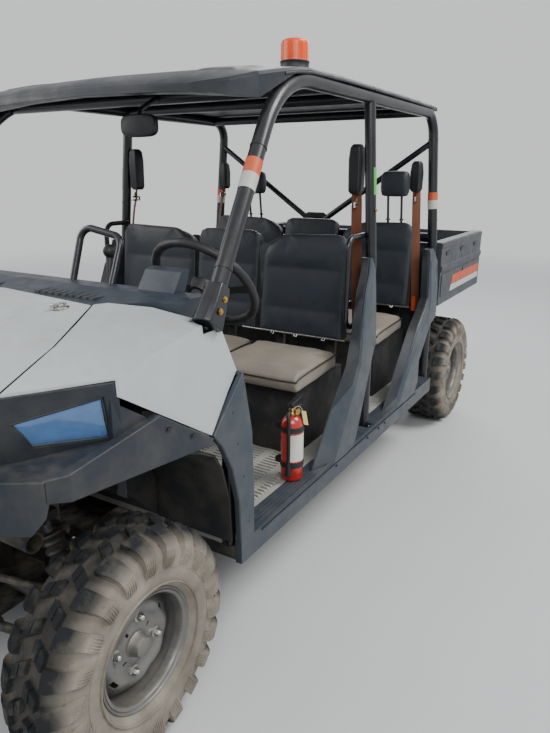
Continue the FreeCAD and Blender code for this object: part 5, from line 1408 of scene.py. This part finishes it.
def make_seats():
    """Cushions and backs, each blown up between its seams, with piping along the seams."""
    front = -405
    piping = bmesh.new()
    for name, low, high in CUSHIONS:
        mesh = bmesh.new()
        add_prism(mesh, [(low + 5, front + y, z) for y, z in CUSHION_SIDE], (1, 0, 0), high - low - 10)
        piece = from_bmesh("cushion_front_" + name, mesh, "seat_taupe", "chassis", 0)

        def pinned(place, low=low, high=high):
            edge = min(place.x - low, high - place.x) < 11
            crease = abs(place.y - (front + 92)) < 5 and place.z > 760
            return place.z < 712 or (edge and 752 < place.z < 768) or crease

        puff(piece, pinned, 24)
        two_rows(piece, "seat_cushion")
        for row in (0, SEAT_PITCH):
            for x in (low + 4, high - 4):
                add_tube(piping, [(x, front + y + row, z)
                                  for y, z in ((366, 775), (250, 770), (120, 765), (30, 758), (3, 748))], 3.6, 8)
            add_tube(piping, [(x, front + row - 2 + 6 * (abs(x - (low + high) / 2) / (high - low) * 2) ** 6, 748)
                              for x in [low + 4 + (high - low - 8) * k / 16 for k in range(17)]], 3.6, 8)
    for name, outline in BACKS:
        mesh = bmesh.new()
        add_prism(mesh, [(x, -25, z) for x, z in outline], (0, 1, 0), 80)
        for vertex in mesh.verts:
            vertex.co.y += back_shift(vertex.co.z)
        piece = from_bmesh("back_front_" + name, mesh, "seat_slate", "chassis", 0)
        low, high = outline[0][0], outline[-1][0]

        def fixed(place, low=low, high=high):
            depth = place.y + 25 - back_shift(place.z)
            rim = min(place.x - low, high - place.x) < 10 or place.z < 836 or place.z > 1270
            line = (abs(place.z - 1128) < 5 or abs(place.z - 948) < 5) and depth < 12
            return (rim and 6 < depth < 22) or line or place.z < 834

        puff(piece, fixed, 26)
        two_rows(piece, "seat_back")
        for row in (0, SEAT_PITCH):
            centre = (low + high) / 2
            add_tube(piping, [(x + (4 if x < centre else -4), -16 + back_shift(z) + row, z - 4 * (z > 1200))
                              for x, z in outline], 3.4, 8)
    from_bmesh("seat_piping", piping, "piping", "chassis", 60)
    # head restraints of the rear row on their stems
    mesh = bmesh.new()
    for x in (523, -372):
        for offset in (-38, 38):
            add_tube(mesh, [(x + offset, 900, 1268), (x + offset, 890, 1350), (x + offset, 880, 1430)], 6.5, 12)
            add_turned(mesh, ((0, 0), (0, 13), (6, 12), (9, 8), (9, 0)), (x + offset, 898, 1290), (0, 0, 1), 16)
    from_bmesh("restraint_stems", mesh, "cage", "chassis", 50)
    for index, x in enumerate((523, -372)):
        mesh = bmesh.new()
        bridge(mesh, [[(x - wide, 878 - deep, z), (x - wide * 0.6, 878 - deep - 5, z),
                       (x + wide * 0.6, 878 - deep - 5, z), (x + wide, 878 - deep, z), (x + wide, 878 + deep, z),
                       (x + wide * 0.6, 878 + deep + 3, z), (x - wide * 0.6, 878 + deep + 3, z),
                       (x - wide, 878 + deep, z)] for z, wide, deep in ((1414, 62, 18), (1424, 76, 27),
                                                                        (1470, 80, 31), (1520, 78, 29),
                                                                        (1540, 70, 22), (1547, 52, 12))])
        pad = from_bmesh("restraint_pad_%d" % index, mesh, "seat_slate", "chassis", 0)
        soft = pad.modifiers.new("soft", "SUBSURF")
        soft.levels = soft.render_levels = 3
        pad.data.polygons.foreach_set("use_smooth", [True] * len(pad.data.polygons))
        if index == 0:
            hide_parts("head_restraints")
    mesh = bmesh.new()
    for row in (0, SEAT_PITCH):
        add_tube(mesh, [(136, -28 + row, 838), (200, -30 + row, 838), (668, -30 + row, 838)], 5.0, 10)
        for x in (300, 420, 560):
            add_tube(mesh, [(x, -30 + row, 838), (x, -44 + row, 830), (x + 14, -44 + row, 830),
                            (x + 14, -30 + row, 838)], 3.2, 8)
    from_bmesh("seat_latch_rods", mesh, "steel", "chassis", 50)


make_seats()


# Belts

def add_strap(mesh, points, width, side, thick=1.6):
    """A flat strap through points, turned to face forward and out."""
    path = smooth_path(points, 8)
    rings = []
    for index, point in enumerate(path):
        ahead = (path[min(index + 1, len(path) - 1)] - path[max(index - 1, 0)]).normalized()
        wide = Vector((0.8 * side, 0.6, 0))
        wide = (wide - ahead * wide.dot(ahead)).normalized()
        out = ahead.cross(wide)
        rings.append([point + wide * (width / 2 * a) + out * (thick * b) for a, b in
                      ((-1, -0.6), (-0.9, -1), (0.9, -1), (1, -0.6), (1, 0.6), (0.9, 1), (-0.9, 1), (-1, 0.6))])
    bridge(mesh, rings)


def make_belts():
    """Covers on the pillars with loops, and the straps down to their buckles."""
    straps = bmesh.new()
    covers = bmesh.new()
    loops = bmesh.new()
    buckles = bmesh.new()
    for side in (1, -1):
        for y, low, high in ((132, 1448, 1650), (925, 1440, 1596)):
            bridge(covers, [[(side * (622 + a * wide), y + b * deep, z)
                             for a, b in ((-1, -0.6), (-0.7, -1), (0.7, -1), (1, -0.6), (1, 0.6), (0.7, 1), (-0.7, 1),
                                          (-1, 0.6))] for z, wide, deep in ((low, 20, 22), (low + 14, 29, 30),
                                                                            (high - 60, 31, 32), (high - 14, 26, 28),
                                                                            (high, 16, 18))])
            add_strap(straps, [(side * 628, y - 4, low + 6), (side * 632, y - 6, 1400)], 44, side)
            add_strap(straps, [(side * 632, y - 8, 1402), (side * 640, y - 22, 1330), (side * 652, y - 34, 1180),
                               (side * 660, y - 30, 1000), (side * 664, y - 14, 830)], 46, side)
            add_tube(loops, [(side * 632, y + 18, 1412), (side * 632, y - 34, 1412), (side * 634, y - 38, 1396),
                             (side * 634, y + 22, 1396), (side * 632, y + 18, 1412)], 4.5, 8)
            add_bolt(loops, (side * 634, y - 8, 1424), (-side, 0, 0), 9, 8)
            bridge(buckles, [[(side * (660 + a * wide), y - 16 + b * 16, z)
                              for a, b in ((-1, -1), (1, -1), (1, 1), (-1, 1))]
                             for z, wide in ((800, 8), (808, 11), (870, 12), (884, 8))])
    piece = from_bmesh("belt_straps", straps, "strap", "chassis", 40)
    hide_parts("seat_belts")
    bevel(from_bmesh("belt_covers", covers, "rubber", "chassis", 40), 3)
    from_bmesh("belt_loops", loops, "steel", "chassis", 50)
    bevel(from_bmesh("belt_buckles", buckles, "orange_band", "chassis", 40), 2.5)


make_belts()


# Cage and roof

PILLAR_FOOT = Vector((730, -1080, 1150))
PILLAR_TOP = Vector((665, -591, 1830))
REAR_TOP = Vector((665, 1000, 1830))
REAR_KNEE = Vector((715, 985, 1160))
MIDDLE_TOP = Vector((665, 140, 1832))
MIDDLE_KNEE = Vector((715, 112, 1160))


def add_sleeve(mesh, start, end, radius, first=0.0, last=360.0, thick=1.4):
    """A thin band round a tube from start to end, over a range of degrees from straight out."""
    axis = (end - start).normalized()
    out = Vector((1, 0, 0))
    out = (out - axis * out.dot(axis)).normalized()
    wide = axis.cross(out)
    count = max(8, int((last - first) / 12))
    rings = []
    for step in range(count + 1):
        turn = math.radians(first + (last - first) * step / count)
        run = out * math.cos(turn) + wide * math.sin(turn)
        rings.append([start + run * (radius - 0.4), start + run * (radius + thick), end + run * (radius + thick),
                      end + run * (radius - 0.4)])
    bridge(mesh, rings)


def at_height(low, high, z):
    return lerp(low, high, (z - low.z) / (high.z - low.z))


def flip(point, side):
    return Vector((point[0] * side, point[1], point[2]))


def make_cage():
    """Bent tubes of both sides, bars across, V brace with its gusset, feet, seams and bands."""
    seams = bmesh.new()
    castings = bmesh.new()
    bolts = bmesh.new()
    orange = bmesh.new()
    white = bmesh.new()
    tags = bmesh.new()
    plates = bmesh.new()
    for word, side in SIDES:
        mesh = bmesh.new()
        tubes = (
            ((tuple(PILLAR_FOOT), tuple(PILLAR_TOP), tuple(REAR_TOP), tuple(REAR_KNEE), (715, 985, 378)),
             (400, 105, 120), 25.4, 24),
            ((tuple(MIDDLE_TOP), tuple(MIDDLE_KNEE), (715, 112, 378)), (200,), 23.4, 20),
            (((710, -976, 378), (710, -976, 800), (706, -1084, 1132)), (120,), 21, 16),
            (((681, 112, 900), (681, -60, 900), (681, -60, 1280), (681, 105, 1280)), (50, 50), 12, 14),
        )
        for corners, bends, radius, sides in tubes:
            add_tube(mesh, [flip(point, side) for point in rounded(corners, bends, 12)], radius, sides)
        piece = from_bmesh("cage_tubes_" + word, mesh, "cage", "chassis", 50)
        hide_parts("cage_" + word)
        # casting at the front pillar's foot
        run = (PILLAR_TOP - PILLAR_FOOT).normalized()
        ahead = Vector((0, -run.z, run.y)).normalized()
        out = run.cross(ahead)
        out = out if out.x > 0 else out * -1
        rings = []
        for along, deep, wide in ((-22, 46, 31), (-8, 45, 32), (30, 39, 31), (92, 31, 28), (102, 28, 27)):
            middle = PILLAR_FOOT + run * along
            rings.append([flip(middle + ahead * (deep * a) + out * (wide * b), side)
                          for a, b in ((-1, -0.5), (-0.72, -1), (0.72, -1), (1, -0.5), (1, 0.5), (0.72, 1),
                                       (-0.72, 1), (-1, 0.5))])
        bridge(castings, rings)
        for along, shift in ((62, -5), (20, 6)):
            add_bolt(bolts, flip(PILLAR_FOOT + run * along + ahead * shift + out * (35 if along < 40 else 30), side),
                     flip(out, side), 7, 6)
        for along in (150, 560):
            middle = PILLAR_FOOT + run * along
            add_sleeve(seams, flip(middle, side), flip(middle + run * 7, side), 25.4, thick=1.6)
        for z in (1290, 1700):
            low = at_height(REAR_KNEE, REAR_TOP, z)
            add_sleeve(seams, flip(low, side), flip(at_height(REAR_KNEE, REAR_TOP, z + 7), side), 25.4, thick=1.6)
        for mesh_here, z_low, z_high, low, high in ((orange, 1525, 1566, PILLAR_FOOT, PILLAR_TOP),
                                                    (white, 1482, 1525, PILLAR_FOOT, PILLAR_TOP),
                                                    (orange, 1395, 1436, REAR_KNEE, REAR_TOP),
                                                    (white, 1350, 1395, REAR_KNEE, REAR_TOP)):
            add_sleeve(mesh_here, flip(at_height(low, high, z_low), side), flip(at_height(low, high, z_high), side),
                       25.5)
        add_sleeve(tags, flip(at_height(MIDDLE_KNEE, MIDDLE_TOP, 1445), side),
                   flip(at_height(MIDDLE_KNEE, MIDDLE_TOP, 1555), side), 23.6, -34 + 90 * (1 - side),
                   34 + 90 * (1 - side))
        middle = at_height(MIDDLE_KNEE, MIDDLE_TOP, 1325)
        for z_shift in (-58, 58):
            add_bolt(bolts, flip(middle + Vector((20, 0, z_shift)), side), (side, 0, 0), 6, 5)
        # ears that carry the roof on the rails
        for y in (-330, 320, 860):
            add_prism(plates, [(side * 640, y - 34, 1846), (side * 640, y + 34, 1846), (side * 668, y + 24, 1858),
                               (side * 668, y - 24, 1858)], (0, 0, 1), 8)
    mesh = bmesh.new()
    for y, z in ((-561, 1789), (140, 1830), (880, 1830)):
        add_tube(mesh, [(-664, y, z), (0, y, z), (664, y, z)], 22.4, 20)
    add_tube(mesh, [(-715, 985, 1200), (0, 985, 1200), (715, 985, 1200)], 22.4, 20)
    for side in (1, -1):
        add_tube(mesh, [(0, 985, 1236), (672 * side, 992, 1693)], 16, 16)
    bars = from_bmesh("cage_bars", mesh, "cage", "chassis", 50)
    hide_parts("cage_crossbars")
    add_prism(plates, [(-74, 972, 1214), (74, 972, 1214), (88, 972, 1290), (52, 972, 1312), (-52, 972, 1312),
                       (-88, 972, 1290)], (0, 1, 0), 6)
    bevel(from_bmesh("cage_plates", plates, "cage", "chassis"), 2)
    for x in (-52, 52):
        add_bolt(bolts, (x, 971, 1262), (0, -1, 0), 8, 6)
    from_bmesh("cage_seams", seams, "cage", "chassis", 40)
    bevel(from_bmesh("pillar_castings", castings, "cage", "chassis"), 4, 3)
    from_bmesh("cage_bolts", bolts, "brass", "chassis")
    from_bmesh("pillar_bands_orange", orange, "orange_band", "chassis", 40)
    from_bmesh("pillar_bands_white", white, "white_band", "chassis", 40)
    from_bmesh("pillar_tags", tags, "green_label", "chassis", 40)


# y, half width, underside in the middle and at the edge, top in the middle and at the edge, channel's depth
ROOF_FRONT = ((-802, 470, 1780, 1768, 1806, 1790, 0), (-790, 540, 1779, 1762, 1816, 1796, 0),
              (-770, 600, 1778, 1756, 1826, 1802, 0), (-715, 668, 1790, 1748, 1847, 1820, 0),
              (-600, 684, 1807, 1804, 1868, 1841, 0), (-500, 684, 1849, 1847, 1883, 1858, 0),
              (-412, 684, 1858, 1858, 1891, 1867, 0), (-396, 684, 1859, 1859, 1892, 1868, 10),
              (-130, 684, 1856, 1856, 1900, 1872, 10), (104, 684, 1856, 1856, 1902, 1872, 10),
              (120, 684, 1856, 1856, 1902, 1872, 0), (137, 684, 1856, 1856, 1902, 1872, 0))
ROOF_REAR = ((143, 684, 1856, 1856, 1902, 1872, 0), (160, 684, 1856, 1856, 1902, 1872, 0),
             (176, 684, 1856, 1856, 1902, 1872, 10), (640, 684, 1856, 1856, 1900, 1870, 10),
             (656, 684, 1856, 1856, 1900, 1870, 0), (990, 684, 1856, 1856, 1888, 1866, 0),
             (1040, 672, 1846, 1846, 1868, 1856, 0))


def roof_top(row, x):
    """The roof's height at a distance from the middle, on one station."""
    _, half, _, _, middle, edge, _ = row
    drop = middle - edge
    line = ((0, 0.0), (0.5, 0.2), (0.86, 0.6), (1.0, 1.0))
    share = abs(x) / half
    for (low, low_drop), (high, high_drop) in zip(line, line[1:]):
        if share <= high:
            return middle - drop * (low_drop + (high_drop - low_drop) * (share - low) / (high - low))
    return edge


def roof_at(x, y):
    """The roof's height anywhere over both panels."""
    rows = ROOF_FRONT + ROOF_REAR
    y = min(max(y, rows[0][0]), rows[-1][0])
    for low, high in zip(rows, rows[1:]):
        if y <= high[0]:
            share = (y - low[0]) / (high[0] - low[0])
            return roof_top(low, x) * (1 - share) + roof_top(high, x) * share


def make_roof():
    """Two crowned panels with a channel along the middle, ribs, raised pads and a rolled edge."""
    for tag, rows in (("front", ROOF_FRONT), ("rear", ROOF_REAR)):
        mesh = bmesh.new()
        rings = []
        for row in rows:
            y, half, under_middle, under_edge, _, top_edge, channel = row
            rise = under_middle - under_edge
            right = [(0, roof_top(row, 0) - channel), (322, roof_top(row, 322) - channel), (334, roof_top(row, 334)),
                     (half * 0.72, roof_top(row, half * 0.72)), (half * 0.9, roof_top(row, half * 0.9)),
                     (half - 9, top_edge + 2), (half, top_edge - 7), (half, under_edge),
                     (half * 0.5, under_middle - rise * 0.3)]
            ring = right + [(0, under_middle)] + [(-x, z) for x, z in reversed(right[1:])]
            rings.append([(x, y, z) for x, z in ring])
        bridge(mesh, rings)
        piece = bevel(from_bmesh("roof_" + tag, mesh, "roof", "chassis", 24), 4, 3, 24)
        if tag == "front":
            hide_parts("roof")
    mesh = bmesh.new()
    for side in (1, -1):
        for low_x, high_x, low_y, high_y in ((392, 560, -690, -250), (392, 560, 190, 600)):
            def pad(across, along, low_x=low_x, high_x=high_x, low_y=low_y, high_y=high_y):
                x = low_x + (high_x - low_x) * across
                y = low_y + (high_y - low_y) * along
                rise = min(1.0, 7 * min(across, 1 - across), 16 * min(along, 1 - along))
                return x, y, roof_at(x, y) - 2 + 8 * rise
            add_sheet(mesh, pad, 20, 36, side)
    from_bmesh("roof_pads", mesh, "roof", "chassis", 40)
    mesh = bmesh.new()
    for side in (1, -1):
        for x in (70, 200):
            for low, high in ((-380, 90), (190, 625)):
                add_tube(mesh, [(side * x, low + (high - low) * step / 8,
                                 roof_at(x, low + (high - low) * step / 8) - 10) for step in range(9)], 15, 12, 0.28,
                         (1, 0, 0))
        for stations in ((-590, -500, -400, -130, 137), (143, 400, 700, 985)):
            add_tube(mesh, [(side * 683, y, roof_at(683, y) - 14) for y in stations], 5, 10)
        for y in (-330, 320, 860):
            add_turned(mesh, ((0, 13), (4, 12), (6, 9), (6, 0)), (side * 640, y, roof_at(640, y) - 1), (0, 0, 1), 20)
    from_bmesh("roof_ribs", mesh, "roof", "chassis", 50)


def make_beacon():
    """Ribbed amber dome on a stepped base."""
    x, y = 500, -200
    mesh = bmesh.new()
    add_turned(mesh, ((1872, 0), (1872, 62), (1884, 62), (1890, 59), (1904, 57), (1912, 54), (1922, 54), (1927, 56),
                      (1930, 54), (1930, 0)), (x, y, 0), (0, 0, 1), 48)
    from_bmesh("beacon_base", mesh, "rubber", "chassis", 40)
    mesh = bmesh.new()
    outer = [(1926, 50.5), (1928, 52)]
    for step in range(8):
        z = 1932 + 7.5 * step
        outer += [(z, 51.6), (z + 3, 50.2)]
    outer += [(1992, 50.5), (1999, 47), (2003, 40), (2005, 28), (2005, 0)]
    add_turned(mesh, [(1926, 0)] + outer, (x, y, 0), (0, 0, 1), 64)
    lens = from_bmesh("beacon_lens", mesh, "amber", "chassis", 50)
    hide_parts("beacon")
    mesh = bmesh.new()
    for turn in range(0, 360, 30):
        run = Vector((math.cos(math.radians(turn)), math.sin(math.radians(turn)), 0))
        add_tube(mesh, [Vector((x, y, z)) + run * 50.6 for z in (1930, 1960, 1990)], 1.8, 6)
    from_bmesh("beacon_ribs", mesh, "amber", "chassis", 50)


def mirror_ring(depth, grow):
    """The mirror's rounded outline at a depth, by its share of the full size."""
    count = 28
    middle_x, middle_z, half_wide, half_high = 160, 1688, 78, 38
    ring = []
    for step in range(count):
        turn = 2 * math.pi * step / count
        x = math.copysign(abs(math.cos(turn)) ** 0.55, math.cos(turn)) * half_wide * grow
        z = math.copysign(abs(math.sin(turn)) ** 0.6, math.sin(turn)) * half_high * grow
        ring.append((middle_x + x, depth, middle_z + z))
    return ring


def make_mirror():
    """Rounded panorama mirror on its stem under the front bar."""
    mesh = bmesh.new()
    bridge(mesh, [mirror_ring(*row) for row in ((-672, 0.86), (-676, 0.97), (-690, 1.0), (-700, 0.97), (-704, 0.86))])
    add_tube(mesh, [(160, -688, 1715), (160, -676, 1742), (160, -610, 1776), (160, -566, 1789)], 8, 12)
    add_sleeve(mesh, Vector((142, -561, 1789)), Vector((178, -561, 1789)), 22.6, thick=5)
    piece = from_bmesh("cab_mirror", mesh, "rubber", "chassis", 40)
    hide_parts("mirror")
    mesh = bmesh.new()
    bridge(mesh, [mirror_ring(*row) for row in ((-671, 0.88), (-669.5, 0.84))])
    from_bmesh("cab_mirror_glass", mesh, "mirror", "chassis", 40)


def make_extinguisher():
    """Cylinder with a domed head, valve, levers, gauge, hose, clamp, blank label and tag."""
    x, y = 690, -530
    mesh = bmesh.new()
    add_turned(mesh, ((411, 0), (411, 34), (415, 40), (424, 43), (628, 43), (646, 41), (660, 34), (670, 22),
                      (674, 15), (674, 0)), (x, y, 0), (0, 0, 1), 48)
    body = from_bmesh("extinguisher_body", mesh, "red", "chassis", 40)
    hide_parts("fire_extinguisher")
    mesh = bmesh.new()
    add_turned(mesh, ((672, 0), (672, 15), (680, 16), (684, 13), (696, 13), (700, 10), (700, 0)), (x, y, 0),
               (0, 0, 1), 24)
    add_turned(mesh, ((0, 0), (0, 6), (14, 6), (15, 13), (20, 13), (21, 10), (21, 0)), (x + 8, y, 690), (1, -0.25, 0),
               20)
    from_bmesh("extinguisher_valve", mesh, "brass", "chassis", 40)
    mesh = bmesh.new()
    add_prism(mesh, [(x - 9, y - 12, 700), (x - 9, y + 62, 690), (x - 9, y + 64, 696), (x - 9, y - 6, 708)],
              (1, 0, 0), 18)
    add_prism(mesh, [(x - 9, y - 18, 712), (x - 9, y + 58, 728), (x - 9, y + 56, 734), (x - 9, y - 22, 720)],
              (1, 0, 0), 18)
    add_tube(mesh, [(x, y - 16, 704), (x, y - 26, 716), (x + 8, y - 24, 727), (x - 8, y - 24, 727), (x, y - 26, 716)],
             1.6, 6)
    bevel(from_bmesh("extinguisher_levers", mesh, "rubber", "chassis"), 1.5)
    mesh = bmesh.new()
    add_tube(mesh, smooth_path([(x, y - 12, 690), (x + 8, y - 44, 686), (x + 14, y - 52, 640), (x + 12, y - 48, 540),
                                (x + 10, y - 46, 500)], 8), 7, 12)
    add_turned(mesh, ((0, 0), (0, 7), (20, 9), (60, 14), (62, 12), (62, 0)), (x + 10, y - 46, 505), (0, 0, -1), 20)
    for z in (470, 612):
        add_sleeve(mesh, Vector((x, y, z)), Vector((x, y, z + 20)), 43.2, thick=2.2)
        add_box(mesh, (x - 66, y - 14, z), (x - 40, y + 14, z + 20), taper=0.98)
    from_bmesh("extinguisher_hose", mesh, "rubber", "chassis", 40)
    mesh = bmesh.new()
    add_sleeve(mesh, Vector((x, y, 496)), Vector((x, y, 604)), 43.1, -75, 75, 0.6)
    from_bmesh("extinguisher_label", mesh, "blank_label", "chassis", 40)
    mesh = bmesh.new()
    tag = [(x + 30, y + 14, 690), (x + 46, y + 6, 640), (x + 44, y + 46, 622), (x + 28, y + 54, 672)]
    add_prism(mesh, tag, (0.9, -0.2, 0.35), 1.2)
    from_bmesh("extinguisher_tag", mesh, "yellow_tag", "chassis", 30)
    mesh = bmesh.new()
    add_tube(mesh, smooth_path([(x + 4, y - 4, 698), (x + 20, y + 14, 704), (x + 31, y + 22, 690)], 6), 0.9, 6)
    from_bmesh("extinguisher_string", mesh, "blank_label", "chassis", 40)


make_cage()
make_roof()
make_beacon()
make_mirror()
make_extinguisher()


# Cargo bed

def make_bed_trim():
    """Rails, pressed panels, slots drawn as dark blocks of painted shade, and stripes on the bed, ribs inside,
    tailgate's handle and ribs, lamps' ribs.
    """
    bed = dressed("bed", "bed", "cargo_bed", 4.0)
    bed.name = "bed_box"
    rails = bmesh.new()
    panels = bmesh.new()
    slots = bmesh.new()
    stripes = bmesh.new()
    pale = bmesh.new()
    for side in (1, -1):
        x = side * 762
        bridge(rails, [[(x - side * 62, y, 1160), (x - side * 62, y, 1170), (x - side * 6, y, 1170),
                        (x + side * 4, y, 1163), (x + side * 4, y, 1140), (x, y, 1136)] for y in (1022, 1500, 1926)])
        for low, high in ((1050, 1460), (1500, 1905)):
            outline = [(x, low, 862), (x, high, 862), (x, high, 978), (x, high - 20, 992), (x, low + 20, 992),
                       (x, low, 978)]
            add_prism(panels, outline, (side, 0, 0), 4)
        bridge(rails, [[(x, y, 1004), (x + side * 7, y, 1010), (x + side * 9, y, 1034), (x, y, 1048)]
                       for y in (1024, 1500, 1926)])
        # the slots are dark blocks standing proud of the side: painted shade in place of open slots
        for y in (1143, 1447, 1767):
            outline = [(x + side * 1, y - 34, 1092), (x + side * 1, y + 34, 1096), (x + side * 1, y + 34, 1116),
                       (x + side * 1, y - 34, 1112)]
            add_prism(slots, outline, (side, 0, 0), 3.4)
        add_prism(stripes, [(x + side * 4, 1250, 912), (x + side * 4, 1890, 912), (x + side * 4, 1890, 962),
                            (x + side * 4, 1270, 962)], (side, 0, 0), 0.8)
        add_prism(pale, [(x + side * 4, 1226, 872), (x + side * 4, 1890, 872), (x + side * 4, 1890, 908),
                         (x + side * 4, 1248, 908)], (side, 0, 0), 0.8)
    bevel(from_bmesh("bed_rails", rails, "bed", "cargo_bed"), 3, 3)
    bevel(from_bmesh("bed_side_panels", panels, "bed", "cargo_bed"), 2, 2)
    from_bmesh("bed_slots_painted_shade", slots, "facet", "cargo_bed")
    from_bmesh("bed_stripes_orange", stripes, "stripe", "cargo_bed")
    from_bmesh("bed_stripes_pale", pale, "white_band", "cargo_bed")
    mesh = bmesh.new()
    for index in range(11):
        x = -600 + 120 * index
        add_box(mesh, (x - 16, 1056, 850), (x + 16, 1880, 855), taper=0.96)
    for index in range(6):
        y = 1110 + 150 * index
        for side in (1, -1):
            low, high = sorted((side * 698, side * 692))
            add_box(mesh, (low, y - 14, 870), (high, y + 14, 1130), taper=0.9)
    bevel(from_bmesh("bed_ribs", mesh, "bed", "cargo_bed"), 1.5, 1)
    gate = dressed("tailgate", "bed", "tailgate", 4.0)
    gate.name = "gate_panel"
    mesh = bmesh.new()
    for low, high in ((-640, -240), (-200, 200), (240, 640)):
        outline = [(low, 1930, 880), (high, 1930, 880), (high, 1930, 1060), (low, 1930, 1060)]
        add_prism(mesh, outline, (0, -1, 0), 1.0)
        for z in (908, 958, 1008):
            add_tube(mesh, [(low + 26, 1929, z), (high - 26, 1929, z)], 7, 10, 0.3, (0, 0, 1))
    from_bmesh("gate_ribs", mesh, "bed", "tailgate", 40)
    mesh = bmesh.new()
    add_tube(mesh, smooth_path([(-70, 1928, 1110), (-64, 1929.5, 1124), (0, 1929.5, 1128), (64, 1929.5, 1124),
                                (70, 1928, 1110)], 6), 6, 10, 0.4, (0, 0, 1))
    from_bmesh("gate_handle", mesh, "rubber", "tailgate", 40)
    mesh = bmesh.new()
    low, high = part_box("tail_lamps")
    for side in (1, -1):
        for step in range(5):
            z = low[2] * 1000 + 10 + (high[2] - low[2]) * 1000 * step / 5
            x_low, x_high = sorted((side * 708, side * 750))
            add_tube(mesh, [(x_low, 1929, z), (x_high, 1929, z)], 3.5, 8, 0.5, (0, 0, 1))
    from_bmesh("tail_lamp_ribs", mesh, "red_lens", "cargo_bed", 40)


make_bed_trim()


# Studio

def floor_material():
    """Pale floor that passes into the background's shade far from the vehicle."""
    new = Shader("studio_floor")
    tint = new.mixed(new.ramp(new.noise(0.8), 0.3, 0.7), srgb(203, 203, 201), srgb(208, 208, 207))
    new.link(tint, new.bsdf.inputs["Base Color"])
    new.bsdf.inputs["Roughness"].default_value = 0.85
    length = new.add("ShaderNodeVectorMath", operation="LENGTH")
    new.link(new.place, length.inputs[0])
    far = new.ramp(length.outputs["Value"], 3.5, 11.0)
    glow = new.add("ShaderNodeEmission")
    glow.inputs["Color"].default_value = BACKDROP
    glow.inputs["Strength"].default_value = BACKDROP_STRENGTH
    mix = new.add("ShaderNodeMixShader")
    new.link(far, mix.inputs[0])
    new.link(new.bsdf.outputs[0], mix.inputs[1])
    new.link(glow.outputs[0], mix.inputs[2])
    new.link(mix.outputs[0], new.tree.nodes["Material Output"].inputs["Surface"])
    return new.material


def make_studio_floor():
    mesh = bmesh.new()
    mesh.faces.new([mesh.verts.new((x, y, -0.001)) for x, y in ((-40, -40), (40, -40), (40, 40), (-40, 40))])
    data = bpy.data.meshes.new("studio_floor")
    mesh.to_mesh(data)
    mesh.free()
    ground = bpy.data.objects.new("studio_floor", data)
    bpy.context.collection.objects.link(ground)
    data.materials.append(floor_material())


make_studio_floor()
